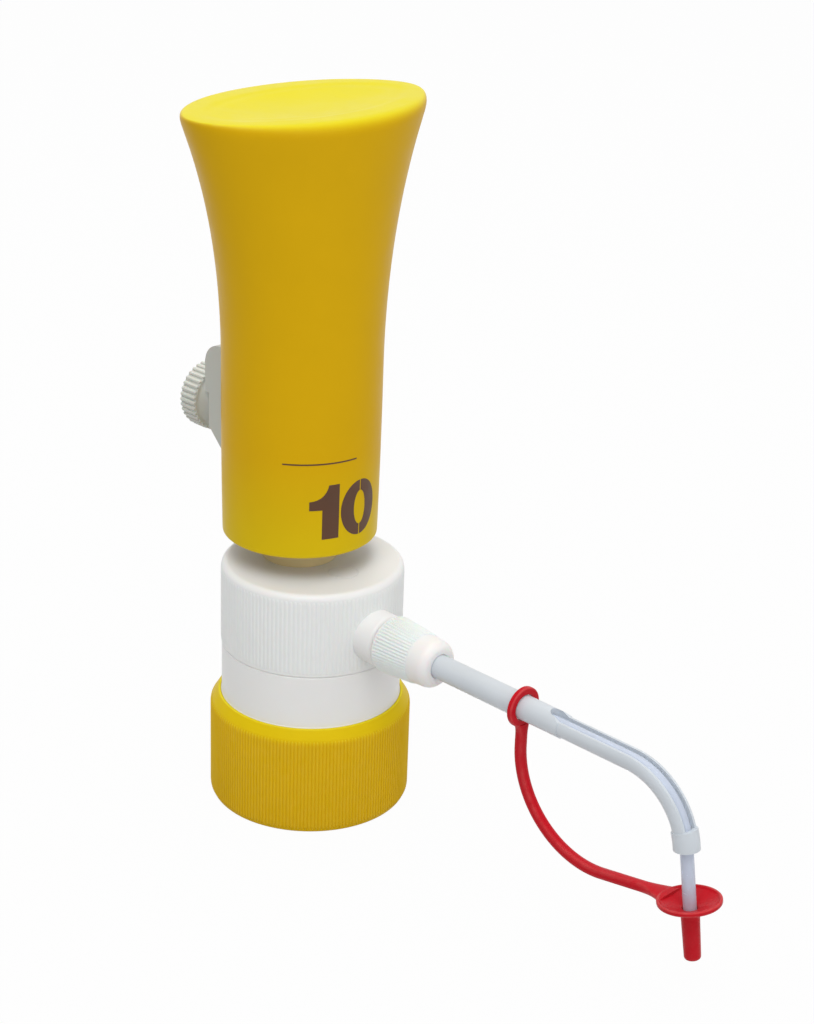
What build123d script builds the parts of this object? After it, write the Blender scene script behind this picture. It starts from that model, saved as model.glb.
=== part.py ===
from build123d import *
from math import cos, pi, radians, sin, sqrt
import os

# Bottle top dispenser, 10 ml, for bottles with a 45 mm screw neck. Sizes in millimetres.
# Origin: the bottle's axis at the lower rim of the screw collar. +Z up, +X along the spout.

# Clearances
RUNNING = 0.05        # radial play of pieces that turn or slide in each other
FIT = 0.03            # play of fixed pieces in their seats
BALL_REST = 0.02      # between a ball and the edge it rests on
CUT = 1.0             # how far a cut starts outside the material

# Screw collar
BOTTLE_THREAD_R = 22.5
THREAD_PLAY = 0.3
THREAD_LENGTH = 20.5
COLLAR_R = 26.5
COLLAR_HEIGHT = 29.4
COLLAR_WALL = 1.3     # outside the room for the block's flange
COLLAR_LIP = 4.2
COLLAR_SHOULDER = 2.9
COLLAR_BEVEL = 1.0
GRIP_PITCH = 0.935
GRIP_DEPTH = 0.35

# Valve block
BLOCK_R = 23.7
BLOCK_TOP_Z = 66.5
BLOCK_EDGE = 1.8
SEAM_Z = 43.75
SEAM_CHAMFER = 0.35
BASE_INSET = 0.15
FLANGE_R = 24.6
GASKET_THICKNESS = 2.0
GASKET_BORE_R = 15.0

# Barrel, its guard and the plunger, all on one axis
BARREL_X = -5.2
BARREL_BORE_R = 7.98  # 2 square centimetres, so 5 mm of stroke draws 1 ml
BARREL_WALL = 1.02
BARREL_FOOT_Z = 55.5
BARREL_LENGTH = 76.5
GUARD_WALL = 0.75
GUARD_SEAT_DEPTH = 9.5
SEAL_THICKNESS = 1.5
PISTON_REST_GAP = 0.5
PISTON_LENGTH = 11.0
PISTON_WAIST = 0.3
SEAL_PLACES = (0.25, 0.75)  # shares of the piston's length
ROD_R = 5.5
ROD_SPIGOT_R = 3.5
ROD_SPIGOT_LENGTH = 6.0
ROD_FLANGE_R = 6.8
ROD_FLANGE_THICKNESS = 2.0
GUIDE_THICKNESS = 5.0
GUIDE_HUB_LENGTH = 9.0
GUIDE_HUB_WALL = 1.5
GUIDE_CAP = 1.5

# Intake valve and the nipple for the suction tube
VALVE_R = 5.0
VALVE_PORT_R = 1.6
NIPPLE_R = 2.5
NIPPLE_LEAD = 0.5
NIPPLE_BORE_R = 1.4
NIPPLE_LENGTH = 13.9
NIPPLE_FLANGE_R = 6.0
NIPPLE_FLANGE = 1.7
NIPPLE_SPIGOT_R = 4.0
NIPPLE_SPIGOT = 6.4
INTAKE_SEAT_HEIGHT = 4.0
INTAKE_BALL_R = 2.5
BALL_LIFT = 1.2
CAGE_PLAY = 0.4
CAGE_WEB = 1.5
CAGE_PORTS = 3

# Discharge valve under its plug
OUTLET_X = 11.5
OUTLET_Z = 53.0
OUTLET_R = 2.0
DISCHARGE_BORE_R = 3.9
DISCHARGE_PORT_R = 1.4
DISCHARGE_SEAT_HEIGHT = 2.5
DISCHARGE_BALL_R = 2.0
DISCHARGE_BALL_LEVEL = 0.5  # of the ball's centre under the outlet's axis
PLUG_LENGTH = 8.0
PLUG_PIN_R = 1.5
PLUG_RING_GAP = 0.15
CHANNEL_R = 1.5
BLOCK_FLOOR = 1.0     # under the channel between the barrel and the discharge valve

# Spout boss, threaded stub and union nut
BOSS_R = 6.9
BOSS_END_X = 29.0
BOSS_EDGE = 1.4
STUB_R = 4.6
STUB_LENGTH = 9.3
NUT_R = 7.6
NUT_TIP_R = 6.3
NUT_GAP = 0.6         # between the boss and the nut
NUT_END_X = 47.0
NUT_GRIP_LENGTH = 11.5
NUT_END_ROUND = 2.5
NUT_GRIP_PITCH = 0.92
NUT_GRIP_DEPTH = 0.22
SPOUT_FLANGE = 2.0

# Spout: sheath, open carrier, end ferrule and the tube that they carry
SHEATH_R = 3.1
TUBE_R = 1.6
TUBE_BORE_R = 1.0
SHEATH_END_X = 88.0
SHEATH_SCARF = 3.0
WINDOW_START_X = 84.0
CARRIER_SLOT = 3.3
CARRIER_R = 2.85
CARRIER_TOP = 1.7     # the open carrier reaches this far over its axis
BEND_X = 108.5
BEND_R = 18.0
TIP_LEAN = 9.5        # degrees outward from straight down
FERRULE_R = 3.2
FERRULE_BEFORE = 3.7  # of the ferrule on the bend
FERRULE_AFTER = 0.9   # and beyond it
TIP_LENGTH = 21.2     # of tube beyond the bend

# Closure: ring on the sheath, strap and cap on the tip
CAP_DISC_DOWN = 13.2  # from the bend's end, along the tip
CAP_DISC_R = 7.65
CAP_DISC_THICKNESS = 1.2
CAP_FUNNEL = 2.4
CAP_LIP = 0.8
CAP_TUBE_R = 2.25
CAP_TUBE_TIP_R = 2.0
CAP_TUBE_LENGTH = 15.3
CAP_BORE_DEPTH = 10.5
CAP_GRIP = 0.05
RING_X = 74.8
RING_WIDTH = 1.5
RING_R = 5.1
STRAP_WIDTH = 2.7
STRAP_THICKNESS = 2.5
STRAP_BEND_R = 23.5
STRAP_RISE = 10.5     # degrees upward at the cap
STRAP_PLAY = 0.35

# Sleeve and lid
SLEEVE_FOOT_Z = 73.3
SLEEVE_TOP_Z = 184.8
SLEEVE_R = 20.45
SLEEVE_WALL = 2.5
SLEEVE_FOOT_TAPER = 0.45
SLEEVE_RIM_EDGE = 3.2
FLARE_Z = 117.5
FLARE_R = 152.5
FLARE_WIDENING = 1.5
LOFT_STEPS = 12
LID_DEPTH = 4.5
LID_THICKNESS = 4.1
LID_DISH = 1.2
LID_LEDGE = 1.2       # the shelf under the lid is this much inside the bore
RIM_WIDTH = 5.2
RIM_SIDE_WIDTH = 3.9
LID_BOSS_R = 8.0
LID_BOSS_LENGTH = 20.0
LID_RIB = 2.0
LID_RIB_DEPTH = 9.0
NUT_WALL = 1.6

# Volume slider, its slot, clamp plate and knob
SLIDER_DOWN = 15.0    # travel to the 10 ml mark
SLIDER_UP = 25.0      # travel to the 2 ml mark
SLIDER_HALF_WIDTH = 7.0
SLIDER_FOOT_Z = 87.5
SLIDER_TOP_Z = 118.0
SLIDER_DEPTH = 9.2    # of its head, out from the sleeve's back
SLIDER_STEP = 1.5     # the lower part is less deep
SLIDER_SADDLE_GAP = 0.5
SLIDER_TOP_ROUND = 5.5
SLOT_WIDTH = 8.0
SLOT_PLAY = 0.2
NECK_HEIGHT = 13.0
KNOB_Z = 100.5
KNOB_R = 9.0
KNOB_SHOULDER_R = 7.7
KNOB_NECK_R = 5.2
KNOB_DRUM = 6.4
KNOB_SHOULDER = 3.2
KNOB_GAP = 0.3
KNOB_GRIP_PITCH = 1.57
KNOB_GRIP_DEPTH = 0.5
KNOB_DISH_R = 6.5
KNOB_DISH = 0.8
SCREW_R = 2.0
PLATE_THICKNESS = 2.6
PLATE_HALF_WIDTH = 6.0
PLATE_HEIGHT = 18.0
PLATE_GAP = 0.3
FINGER_HEIGHT = 3.0
NOTCH_PLAY = 0.5

# Levels and radii that follow from the sizes above
FLANGE_Z = THREAD_LENGTH + FIT
LIP_Z = COLLAR_HEIGHT - COLLAR_LIP
GROOVE_R = COLLAR_R - GRIP_DEPTH
NIPPLE_TOP_Z = FLANGE_Z + NIPPLE_SPIGOT
INTAKE_SEAT_TOP_Z = NIPPLE_TOP_Z + INTAKE_SEAT_HEIGHT
INTAKE_BALL_Z = INTAKE_SEAT_TOP_Z + sqrt(INTAKE_BALL_R**2 - VALVE_PORT_R**2) + BALL_REST
BARREL_R = BARREL_BORE_R + BARREL_WALL
GUARD_R = BARREL_R + FIT + GUARD_WALL
BARREL_TOP_Z = BARREL_FOOT_Z + BARREL_LENGTH
GUIDE_TOP_Z = BARREL_TOP_Z + GUIDE_CAP
GUARD_FOOT_Z = BLOCK_TOP_Z - GUARD_SEAT_DEPTH
PISTON_FOOT_Z = BARREL_FOOT_Z + PISTON_REST_GAP
DISCHARGE_SEAT_Z = OUTLET_Z - DISCHARGE_BALL_R - DISCHARGE_SEAT_HEIGHT - DISCHARGE_BALL_LEVEL
DISCHARGE_SEAT_TOP_Z = DISCHARGE_SEAT_Z + DISCHARGE_SEAT_HEIGHT
DISCHARGE_BALL_Z = DISCHARGE_SEAT_TOP_Z + sqrt(DISCHARGE_BALL_R**2 - DISCHARGE_PORT_R**2) + BALL_REST
STUB_END_X = BOSS_END_X + STUB_LENGTH
NUT_START_X = BOSS_END_X + NUT_GAP
TUBE_START_X = STUB_END_X + FIT
TIP_TURN = 90 - TIP_LEAN
LID_SEAT_Z = SLEEVE_TOP_Z - LID_DEPTH
ROD_TOP_Z = LID_SEAT_Z - LID_BOSS_LENGTH
SLIDER_MID_Z = KNOB_Z
SLEEVE_BORE_R = SLEEVE_R - SLEEVE_WALL
SLEEVE_BACK_X = BARREL_X - SLEEVE_R
SLIDER_FACE_X = SLEEVE_BACK_X - SLIDER_DEPTH
SLIDER_LOWER_FACE_X = SLIDER_FACE_X + SLIDER_STEP
KNOB_DRUM_X = SLIDER_LOWER_FACE_X - KNOB_GAP - KNOB_SHOULDER
PLATE_OUTER_R = SLEEVE_BORE_R - PLATE_GAP
PLATE_TOP_Z = KNOB_Z + PLATE_HEIGHT / 2 + SLIDER_UP
BORE_END_Z = max(GUIDE_TOP_Z, PLATE_TOP_Z) + PLATE_GAP
GUIDE_HUB_R = GUARD_R + FIT + GUIDE_HUB_WALL
FINGER_INNER_R = GUIDE_HUB_R + NOTCH_PLAY
CHANNEL_Z = SEAM_Z + BLOCK_FLOOR + CHANNEL_R

OUTLET_PLANE = Plane(origin=(0, 0, OUTLET_Z), x_dir=(0, 1, 0), z_dir=(1, 0, 0))
KNOB_PLANE = Plane(origin=(0, 0, KNOB_Z), x_dir=(0, 1, 0), z_dir=(1, 0, 0))
CHANNEL_PLANE = Plane(origin=(0, 0, CHANNEL_Z), x_dir=(0, 1, 0), z_dir=(1, 0, 0))


def revolved(points):
    """A turned solid about Z from the (radius, z) corners of its half section."""
    return revolve(Plane.XZ * make_face(Polyline(points, close=True)), Axis.Z)


def ring(outer_r, inner_r, low, high):
    """A plain tube about Z between two levels."""
    return Pos(0, 0, low) * extrude(Circle(outer_r) - Circle(inner_r), high - low)


def rod(radius, low, high):
    """A plain cylinder about Z between two levels."""
    return Pos(0, 0, low) * extrude(Circle(radius), high - low)


def along_x(plane, sketch, start, end):
    """A section drawn on a plane across X, extruded between two stations."""
    return extrude(plane.offset(start) * sketch, end - start)


def ribbed_outline(outer_r, pitch, depth):
    """Closed saw-tooth outline of grip ribs on a circle."""
    count = round(2 * pi * outer_r / pitch)
    points = []
    for rib in range(count):
        for share, radius in ((0.0, outer_r), (0.5, outer_r - depth)):
            angle = 2 * pi * (rib + share) / count
            points.append((radius * cos(angle), radius * sin(angle)))
    return make_face(Polyline(points, close=True))


def screw_collar():
    shoulder_z = COLLAR_HEIGHT - COLLAR_SHOULDER
    lip_r = BLOCK_R + RUNNING
    wall_r = GROOVE_R - FIT
    foot = revolved([(0, 0), (wall_r - COLLAR_BEVEL / 2, 0), (wall_r, COLLAR_BEVEL), (0, COLLAR_BEVEL)])
    grip = Pos(0, 0, COLLAR_BEVEL) * extrude(
        ribbed_outline(COLLAR_R, GRIP_PITCH, GRIP_DEPTH), shoulder_z - COLLAR_BEVEL)
    shoulder = revolved([(0, shoulder_z), (wall_r, shoulder_z), (lip_r + COLLAR_BEVEL / 2, COLLAR_HEIGHT),
                         (0, COLLAR_HEIGHT)])
    bore = rod(BOTTLE_THREAD_R + THREAD_PLAY, 0, THREAD_LENGTH)
    flange_room = rod(COLLAR_R - GRIP_DEPTH - COLLAR_WALL, THREAD_LENGTH, LIP_Z)
    lip_bore = rod(lip_r, LIP_Z, COLLAR_HEIGHT)
    return foot + grip + shoulder - bore - flange_room - lip_bore


def block_base():
    body_r = BLOCK_R - BASE_INSET
    body = revolved([
        (0, FLANGE_Z), (FLANGE_R, FLANGE_Z), (FLANGE_R, LIP_Z - RUNNING), (BLOCK_R, LIP_Z - RUNNING),
        (BLOCK_R, COLLAR_HEIGHT), (body_r, COLLAR_HEIGHT + BASE_INSET), (body_r, SEAM_Z - SEAM_CHAMFER),
        (body_r - SEAM_CHAMFER, SEAM_Z), (0, SEAM_Z)])
    nipple_bore = rod(NIPPLE_SPIGOT_R + FIT, FLANGE_Z, NIPPLE_TOP_Z)
    valve_bore = rod(VALVE_R + FIT, NIPPLE_TOP_Z, SEAM_Z)
    return body - Pos(BARREL_X, 0, 0) * (nipple_bore + valve_bore)


def spout_boss():
    """Round boss and threaded stub for the union nut, across X on the outlet's axis."""
    boss = along_x(OUTLET_PLANE, Circle(BOSS_R), OUTLET_X, BOSS_END_X)
    boss = fillet(boss.edges().group_by(Axis.X)[-1], BOSS_EDGE)
    return boss + along_x(OUTLET_PLANE, Circle(STUB_R), BOSS_END_X, STUB_END_X)


def block_shell():
    body = rod(BLOCK_R, SEAM_Z, BLOCK_TOP_Z)
    body = fillet(body.edges().group_by(Axis.Z)[-1], BLOCK_EDGE)
    body = chamfer(body.edges().group_by(Axis.Z)[0], SEAM_CHAMFER) + spout_boss()
    seal_z = BARREL_FOOT_Z - SEAL_THICKNESS
    barrel_seat = rod(CHANNEL_R, SEAM_Z, seal_z) + rod(BARREL_R + FIT, seal_z, GUARD_FOOT_Z)
    barrel_seat += rod(GUARD_R + FIT, GUARD_FOOT_Z, BLOCK_TOP_Z)
    channel = along_x(CHANNEL_PLANE, Circle(CHANNEL_R), BARREL_X, OUTLET_X)
    valve_bore = rod(DISCHARGE_PORT_R, CHANNEL_Z, DISCHARGE_SEAT_Z)
    valve_bore += rod(DISCHARGE_BORE_R, DISCHARGE_SEAT_Z, BLOCK_TOP_Z)
    outlet = along_x(OUTLET_PLANE, Circle(OUTLET_R), OUTLET_X, STUB_END_X)
    return body - Pos(BARREL_X, 0, 0) * barrel_seat - channel - Pos(OUTLET_X, 0, 0) * valve_bore - outlet


def bottle_gasket():
    return ring(BOTTLE_THREAD_R - THREAD_PLAY, GASKET_BORE_R, FLANGE_Z - GASKET_THICKNESS, FLANGE_Z)


def intake_nipple():
    flange_z = FLANGE_Z - NIPPLE_FLANGE
    tip_z = flange_z - NIPPLE_LENGTH
    body = revolved([
        (0, tip_z), (NIPPLE_R - NIPPLE_LEAD, tip_z), (NIPPLE_R, tip_z + NIPPLE_LEAD), (NIPPLE_R, flange_z),
        (NIPPLE_FLANGE_R, flange_z), (NIPPLE_FLANGE_R, FLANGE_Z), (NIPPLE_SPIGOT_R, FLANGE_Z),
        (NIPPLE_SPIGOT_R, NIPPLE_TOP_Z), (0, NIPPLE_TOP_Z)])
    return Pos(BARREL_X, 0, 0) * (body - rod(NIPPLE_BORE_R, tip_z, NIPPLE_TOP_Z))


def intake_seat():
    return Pos(BARREL_X, 0, 0) * ring(VALVE_R, VALVE_PORT_R, NIPPLE_TOP_Z, INTAKE_SEAT_TOP_Z)


def intake_cage():
    """Cup over the intake ball, with ports in its web that stay open when the ball has lifted."""
    chamber_r = INTAKE_BALL_R + CAGE_PLAY
    web_z = INTAKE_BALL_Z + INTAKE_BALL_R + BALL_LIFT + BALL_REST
    body = ring(VALVE_R, chamber_r, INTAKE_SEAT_TOP_Z, SEAM_Z) + rod(VALVE_R, web_z, web_z + CAGE_WEB)
    ports = Sketch() + PolarLocations(chamber_r - CHANNEL_R, CAGE_PORTS) * Circle(CHANNEL_R / 2)
    return Pos(BARREL_X, 0, 0) * (body - Pos(0, 0, web_z) * extrude(ports, CAGE_WEB))


def intake_ball():
    return Pos(BARREL_X, 0, INTAKE_BALL_Z) * Sphere(INTAKE_BALL_R)


def discharge_seat():
    body = ring(DISCHARGE_BORE_R - FIT, DISCHARGE_PORT_R, DISCHARGE_SEAT_Z, DISCHARGE_SEAT_TOP_Z)
    return Pos(OUTLET_X, 0, 0) * body


def discharge_ball():
    return Pos(OUTLET_X, 0, DISCHARGE_BALL_Z) * Sphere(DISCHARGE_BALL_R)


def valve_plug():
    """Round plug flush with the block's top, whose pin stops the ball's lift."""
    pin_z = DISCHARGE_BALL_Z + DISCHARGE_BALL_R + BALL_LIFT + BALL_REST
    head = rod(DISCHARGE_BORE_R - FIT, BLOCK_TOP_Z - PLUG_LENGTH, BLOCK_TOP_Z - PLUG_RING_GAP)
    head += rod(DISCHARGE_BORE_R - PLUG_RING_GAP, BLOCK_TOP_Z - PLUG_RING_GAP, BLOCK_TOP_Z)
    return Pos(OUTLET_X, 0, 0) * (head + rod(PLUG_PIN_R, pin_z, BLOCK_TOP_Z - PLUG_LENGTH))


def barrel():
    return Pos(BARREL_X, 0, 0) * ring(BARREL_R, BARREL_BORE_R, BARREL_FOOT_Z, BARREL_TOP_Z)


def barrel_guard():
    return Pos(BARREL_X, 0, 0) * ring(GUARD_R, BARREL_R + FIT, GUARD_FOOT_Z, BARREL_TOP_Z)


def barrel_seal():
    low = BARREL_FOOT_Z - SEAL_THICKNESS
    return Pos(BARREL_X, 0, 0) * ring(BARREL_R, BARREL_BORE_R - BARREL_WALL, low, BARREL_FOOT_Z)


def guide_ring():
    """Ring on the barrel's top that guides the sleeve, notched for the slider's clamp plate."""
    hub_z = GUIDE_TOP_Z - GUIDE_HUB_LENGTH
    collar_z = GUIDE_TOP_Z - GUIDE_THICKNESS
    body = rod(GUIDE_HUB_R, hub_z, GUIDE_TOP_Z)
    body += rod(SLEEVE_BORE_R - RUNNING, collar_z, GUIDE_TOP_Z)
    body -= rod(GUARD_R + FIT, hub_z, BARREL_TOP_Z)
    body -= rod(BARREL_BORE_R, BARREL_TOP_Z, GUIDE_TOP_Z)
    notch = ring(SLEEVE_BORE_R, GUIDE_HUB_R, collar_z, GUIDE_TOP_Z)
    notch &= Pos(-SLEEVE_BORE_R, 0, GUIDE_TOP_Z) * Box(
        SLEEVE_BORE_R, 2 * (PLATE_HALF_WIDTH + NOTCH_PLAY), 2 * GUIDE_THICKNESS)
    return Pos(BARREL_X, 0, 0) * (body - notch)


def piston_head():
    """Plunger head with two grooves for its seals, on the rod's spigot."""
    waist_r = BARREL_BORE_R - RUNNING - PISTON_WAIST
    top_z = PISTON_FOOT_Z + PISTON_LENGTH
    body = rod(waist_r, PISTON_FOOT_Z, top_z)
    body -= rod(ROD_SPIGOT_R + FIT, top_z - ROD_SPIGOT_LENGTH, top_z)
    for low in seal_levels():
        body -= ring(waist_r + CUT, waist_r - BARREL_WALL, low, low + SEAL_THICKNESS)
    return Pos(BARREL_X, 0, 0) * body


def seal_levels():
    """Lower faces of the two plunger seals."""
    return [PISTON_FOOT_Z + PISTON_LENGTH * share - SEAL_THICKNESS / 2 for share in SEAL_PLACES]


def piston_seals():
    waist_r = BARREL_BORE_R - RUNNING - PISTON_WAIST
    seals = Part()
    for low in seal_levels():
        seals += ring(
            BARREL_BORE_R - RUNNING, waist_r - BARREL_WALL + FIT, low + FIT, low + SEAL_THICKNESS - FIT)
    return Pos(BARREL_X, 0, 0) * seals


def piston_rod():
    shoulder_z = PISTON_FOOT_Z + PISTON_LENGTH
    body = rod(ROD_SPIGOT_R, shoulder_z - ROD_SPIGOT_LENGTH, shoulder_z) + rod(ROD_R, shoulder_z, ROD_TOP_Z)
    return Pos(BARREL_X, 0, 0) * (body + rod(ROD_FLANGE_R, ROD_TOP_Z - ROD_FLANGE_THICKNESS, ROD_TOP_Z))


def rod_nut():
    """Ribbed nut that holds the rod's flange against the lid's boss."""
    outer_r = LID_BOSS_R + FIT + NUT_WALL
    foot_z = ROD_TOP_Z - ROD_FLANGE_THICKNESS - NUT_WALL - FIT
    top_z = ROD_TOP_Z + LID_BOSS_R
    body = Pos(0, 0, foot_z) * extrude(ribbed_outline(outer_r, 2 * NUT_WALL, GRIP_DEPTH), top_z - foot_z)
    body -= rod(ROD_R + RUNNING, foot_z, foot_z + NUT_WALL)
    return Pos(BARREL_X, 0, 0) * (body - rod(LID_BOSS_R + FIT, foot_z + NUT_WALL, top_z))


def shaft_r(z):
    """Sleeve radius up to the flare: a slight, growing taper towards the foot."""
    drop = (FLARE_Z - min(z, FLARE_Z)) / (FLARE_Z - SLEEVE_FOOT_Z)
    return SLEEVE_R - SLEEVE_FOOT_TAPER * drop**2


def flare_length(z):
    """How far the sleeve has widened across the spout at a level."""
    rise = max(z - FLARE_Z, 0)
    return FLARE_R - sqrt(FLARE_R**2 - rise**2)


def flare_width(z):
    """How far the sleeve has widened along the spout at a level."""
    return FLARE_WIDENING * (max(z - FLARE_Z, 0) / (SLEEVE_TOP_Z - FLARE_Z))**2


def oval(half_length, half_width, z):
    """Oval section at a level, its long axis across the spout."""
    return Pos(BARREL_X, 0, z) * Rot(0, 0, 90) * Ellipse(half_length, half_width)


def levels(low, high):
    return [low + (high - low) * step / LOFT_STEPS for step in range(LOFT_STEPS + 1)]


def sleeve():
    outer = loft([oval(shaft_r(z) + flare_length(z), shaft_r(z) + flare_width(z), z)
                  for z in levels(SLEEVE_FOOT_Z, SLEEVE_TOP_Z)])
    outer = fillet(outer.edges().group_by(Axis.Z)[-1], SLEEVE_RIM_EDGE)
    bore = Pos(BARREL_X, 0, 0) * rod(SLEEVE_BORE_R, SLEEVE_FOOT_Z, BORE_END_Z)
    shelf_r = SLEEVE_BORE_R - LID_LEDGE
    hollow = loft([oval(shelf_r + flare_length(z) - flare_length(BORE_END_Z), shelf_r, z)
                   for z in levels(BORE_END_Z, LID_SEAT_Z)])
    pocket = extrude(lid_outline(0), LID_DEPTH)
    return outer - bore - hollow - pocket - slider_slot()


def lid_outline(play):
    length = SLEEVE_R + flare_length(SLEEVE_TOP_Z) - RIM_WIDTH - play
    width = SLEEVE_R + FLARE_WIDENING - RIM_SIDE_WIDTH - play
    return oval(length, width, LID_SEAT_Z)


def slider_slot():
    """Upright slot through the sleeve's back, as long as the slider's travel."""
    length = NECK_HEIGHT + SLIDER_DOWN + SLIDER_UP + 2 * SLOT_PLAY
    middle = SLIDER_MID_Z + (SLIDER_UP - SLIDER_DOWN) / 2
    outline = Plane.YZ * Pos(0, middle) * Rot(0, 0, 90) * SlotOverall(length, SLOT_WIDTH)
    return Pos(SLEEVE_BACK_X - CUT, 0, 0) * extrude(outline, SLEEVE_WALL + 2 * CUT)


def top_lid():
    """Dished oval lid with ribs and the boss that takes the plunger rod."""
    plate = extrude(lid_outline(FIT), LID_THICKNESS)
    half = SLEEVE_R + flare_length(SLEEVE_TOP_Z) - RIM_WIDTH
    dish_r = (half**2 + LID_DISH**2) / (2 * LID_DISH)
    plate -= Pos(BARREL_X, 0, LID_SEAT_Z + LID_THICKNESS - LID_DISH + dish_r) * Sphere(dish_r)
    boss = Pos(BARREL_X, 0, 0) * rod(LID_BOSS_R, ROD_TOP_Z, LID_SEAT_Z)
    rib_z = LID_SEAT_Z - LID_RIB_DEPTH
    rib_half = SLEEVE_BORE_R - LID_LEDGE - LID_RIB
    rib = Pos(BARREL_X, 0, rib_z + LID_RIB_DEPTH / 2) * (
        Box(LID_RIB, 2 * rib_half, LID_RIB_DEPTH) + Box(2 * rib_half, LID_RIB, LID_RIB_DEPTH))
    return plate + boss + rib


def slider_profile():
    """Side outline of the slider: rounded head, step under it and a slanted foot."""
    inner_x = SLEEVE_BACK_X + SLIDER_DEPTH
    foot_rise = SLEEVE_BACK_X - SLIDER_LOWER_FACE_X
    outline = Polyline([
        (inner_x, SLIDER_FOOT_Z), (SLEEVE_BACK_X, SLIDER_FOOT_Z),
        (SLIDER_LOWER_FACE_X, SLIDER_FOOT_Z + foot_rise), (SLIDER_LOWER_FACE_X, KNOB_Z),
        (SLIDER_FACE_X, KNOB_Z), (SLIDER_FACE_X, SLIDER_TOP_Z), (inner_x, SLIDER_TOP_Z)], close=True)
    return Plane.XZ * make_face(outline)


def stop_slider():
    """Grip piece outside the sleeve, with the neck that runs in the slot."""
    body = extrude(slider_profile(), SLIDER_HALF_WIDTH, both=True)
    head_edge = body.edges().filter_by(Axis.Y).group_by(Axis.Z)[-1].sort_by(Axis.X)[0]
    body = fillet(head_edge, SLIDER_TOP_ROUND)
    saddle_r = SLEEVE_R + SLIDER_SADDLE_GAP
    body -= Pos(BARREL_X, 0, 0) * rod(saddle_r, SLIDER_FOOT_Z - CUT, SLIDER_TOP_Z + CUT)
    recess_r = KNOB_SHOULDER_R + KNOB_GAP
    recess = along_x(KNOB_PLANE, Circle(recess_r), SLIDER_FACE_X - CUT, SLIDER_LOWER_FACE_X)
    neck = SlotOverall(NECK_HEIGHT, SLOT_WIDTH - 2 * SLOT_PLAY)
    neck = Plane.YZ * Pos(0, SLIDER_MID_Z) * Rot(0, 0, 90) * neck
    neck_end_x = BARREL_X - SLEEVE_BORE_R
    neck = Pos(SLIDER_LOWER_FACE_X + CUT, 0, 0) * extrude(neck, neck_end_x - SLIDER_LOWER_FACE_X - CUT)
    screw_hole = along_x(KNOB_PLANE, Circle(SCREW_R + RUNNING), SLIDER_FACE_X - CUT, neck_end_x)
    return body - recess + neck - screw_hole


def clamp_plate():
    """Curved plate inside the sleeve with the stop finger on its lower end."""
    low = KNOB_Z - PLATE_HEIGHT / 2
    shell = ring(PLATE_OUTER_R, PLATE_OUTER_R - PLATE_THICKNESS, low, low + PLATE_HEIGHT)
    finger = ring(PLATE_OUTER_R - PLATE_THICKNESS / 2, FINGER_INNER_R, low, low + FINGER_HEIGHT)
    window = Pos(-SLEEVE_BORE_R, 0, KNOB_Z) * Box(SLEEVE_BORE_R, 2 * PLATE_HALF_WIDTH, PLATE_HEIGHT)
    plate = Pos(BARREL_X, 0, 0) * ((shell + finger) & window)
    return plate - along_x(KNOB_PLANE, Circle(SCREW_R + RUNNING), SLEEVE_BACK_X, BARREL_X)


def clamp_knob():
    """Ribbed drum with a shallow dish, and a smooth cone towards the slider."""
    face_x = KNOB_DRUM_X - KNOB_DRUM
    grip = ribbed_outline(KNOB_R, KNOB_GRIP_PITCH, KNOB_GRIP_DEPTH)
    drum = along_x(KNOB_PLANE, grip, face_x, KNOB_DRUM_X)
    shoulder = loft([KNOB_PLANE.offset(KNOB_DRUM_X) * Circle(KNOB_SHOULDER_R),
                     KNOB_PLANE.offset(KNOB_DRUM_X + KNOB_SHOULDER) * Circle(KNOB_NECK_R)])
    dish = along_x(KNOB_PLANE, Circle(KNOB_DISH_R), face_x, face_x + KNOB_DISH)
    screw_bore = along_x(
        KNOB_PLANE, Circle(SCREW_R + FIT), KNOB_DRUM_X - KNOB_DRUM / 2, KNOB_DRUM_X + KNOB_SHOULDER)
    return drum + shoulder - dish - screw_bore


def clamp_screw():
    end_x = BARREL_X - PLATE_OUTER_R + PLATE_THICKNESS
    return along_x(KNOB_PLANE, Circle(SCREW_R), KNOB_DRUM_X - KNOB_DRUM / 2, end_x)


def union_nut():
    """Tapered nut: grip ribs on its inner part, a smooth domed end round the sheath."""
    grip_end_x = NUT_START_X + NUT_GRIP_LENGTH
    slope = (NUT_R - NUT_TIP_R) / (NUT_END_X - NUT_START_X)
    grip_end_r = NUT_R - slope * NUT_GRIP_LENGTH
    outline = ribbed_outline(NUT_R, NUT_GRIP_PITCH, NUT_GRIP_DEPTH)
    grip = loft([OUTLET_PLANE.offset(NUT_START_X) * outline,
                 OUTLET_PLANE.offset(grip_end_x) * scale(outline, grip_end_r / NUT_R)], ruled=True)
    end_r = grip_end_r - NUT_GRIP_DEPTH - FIT
    nose = loft([OUTLET_PLANE.offset(grip_end_x) * Circle(end_r), OUTLET_PLANE.offset(NUT_END_X) * Circle(
        end_r - slope * (NUT_END_X - grip_end_x))])
    nose = fillet(nose.edges().group_by(Axis.X)[-1], NUT_END_ROUND)
    flange_end_x = TUBE_START_X + SPOUT_FLANGE + RUNNING
    cavity = along_x(OUTLET_PLANE, Circle(STUB_R + RUNNING), NUT_START_X, flange_end_x)
    hole = along_x(OUTLET_PLANE, Circle(SHEATH_R + RUNNING), flange_end_x, NUT_END_X)
    return grip + nose - cavity - hole


def spout_bend():
    """The bend's centre line, drawn in the spout's own upright plane."""
    return JernArc(start=(BEND_X, OUTLET_Z), tangent=(1, 0), radius=BEND_R, arc_size=-TIP_TURN)


def spout_path(start_x, past_bend):
    """Centre line of the spout from a station to a length beyond its bend."""
    bend = spout_bend()
    run = Line((start_x, OUTLET_Z), bend @ 0)
    return Plane.XZ * (run + bend + Line(bend @ 1, bend @ 1 + (bend % 1) * past_bend))


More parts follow.
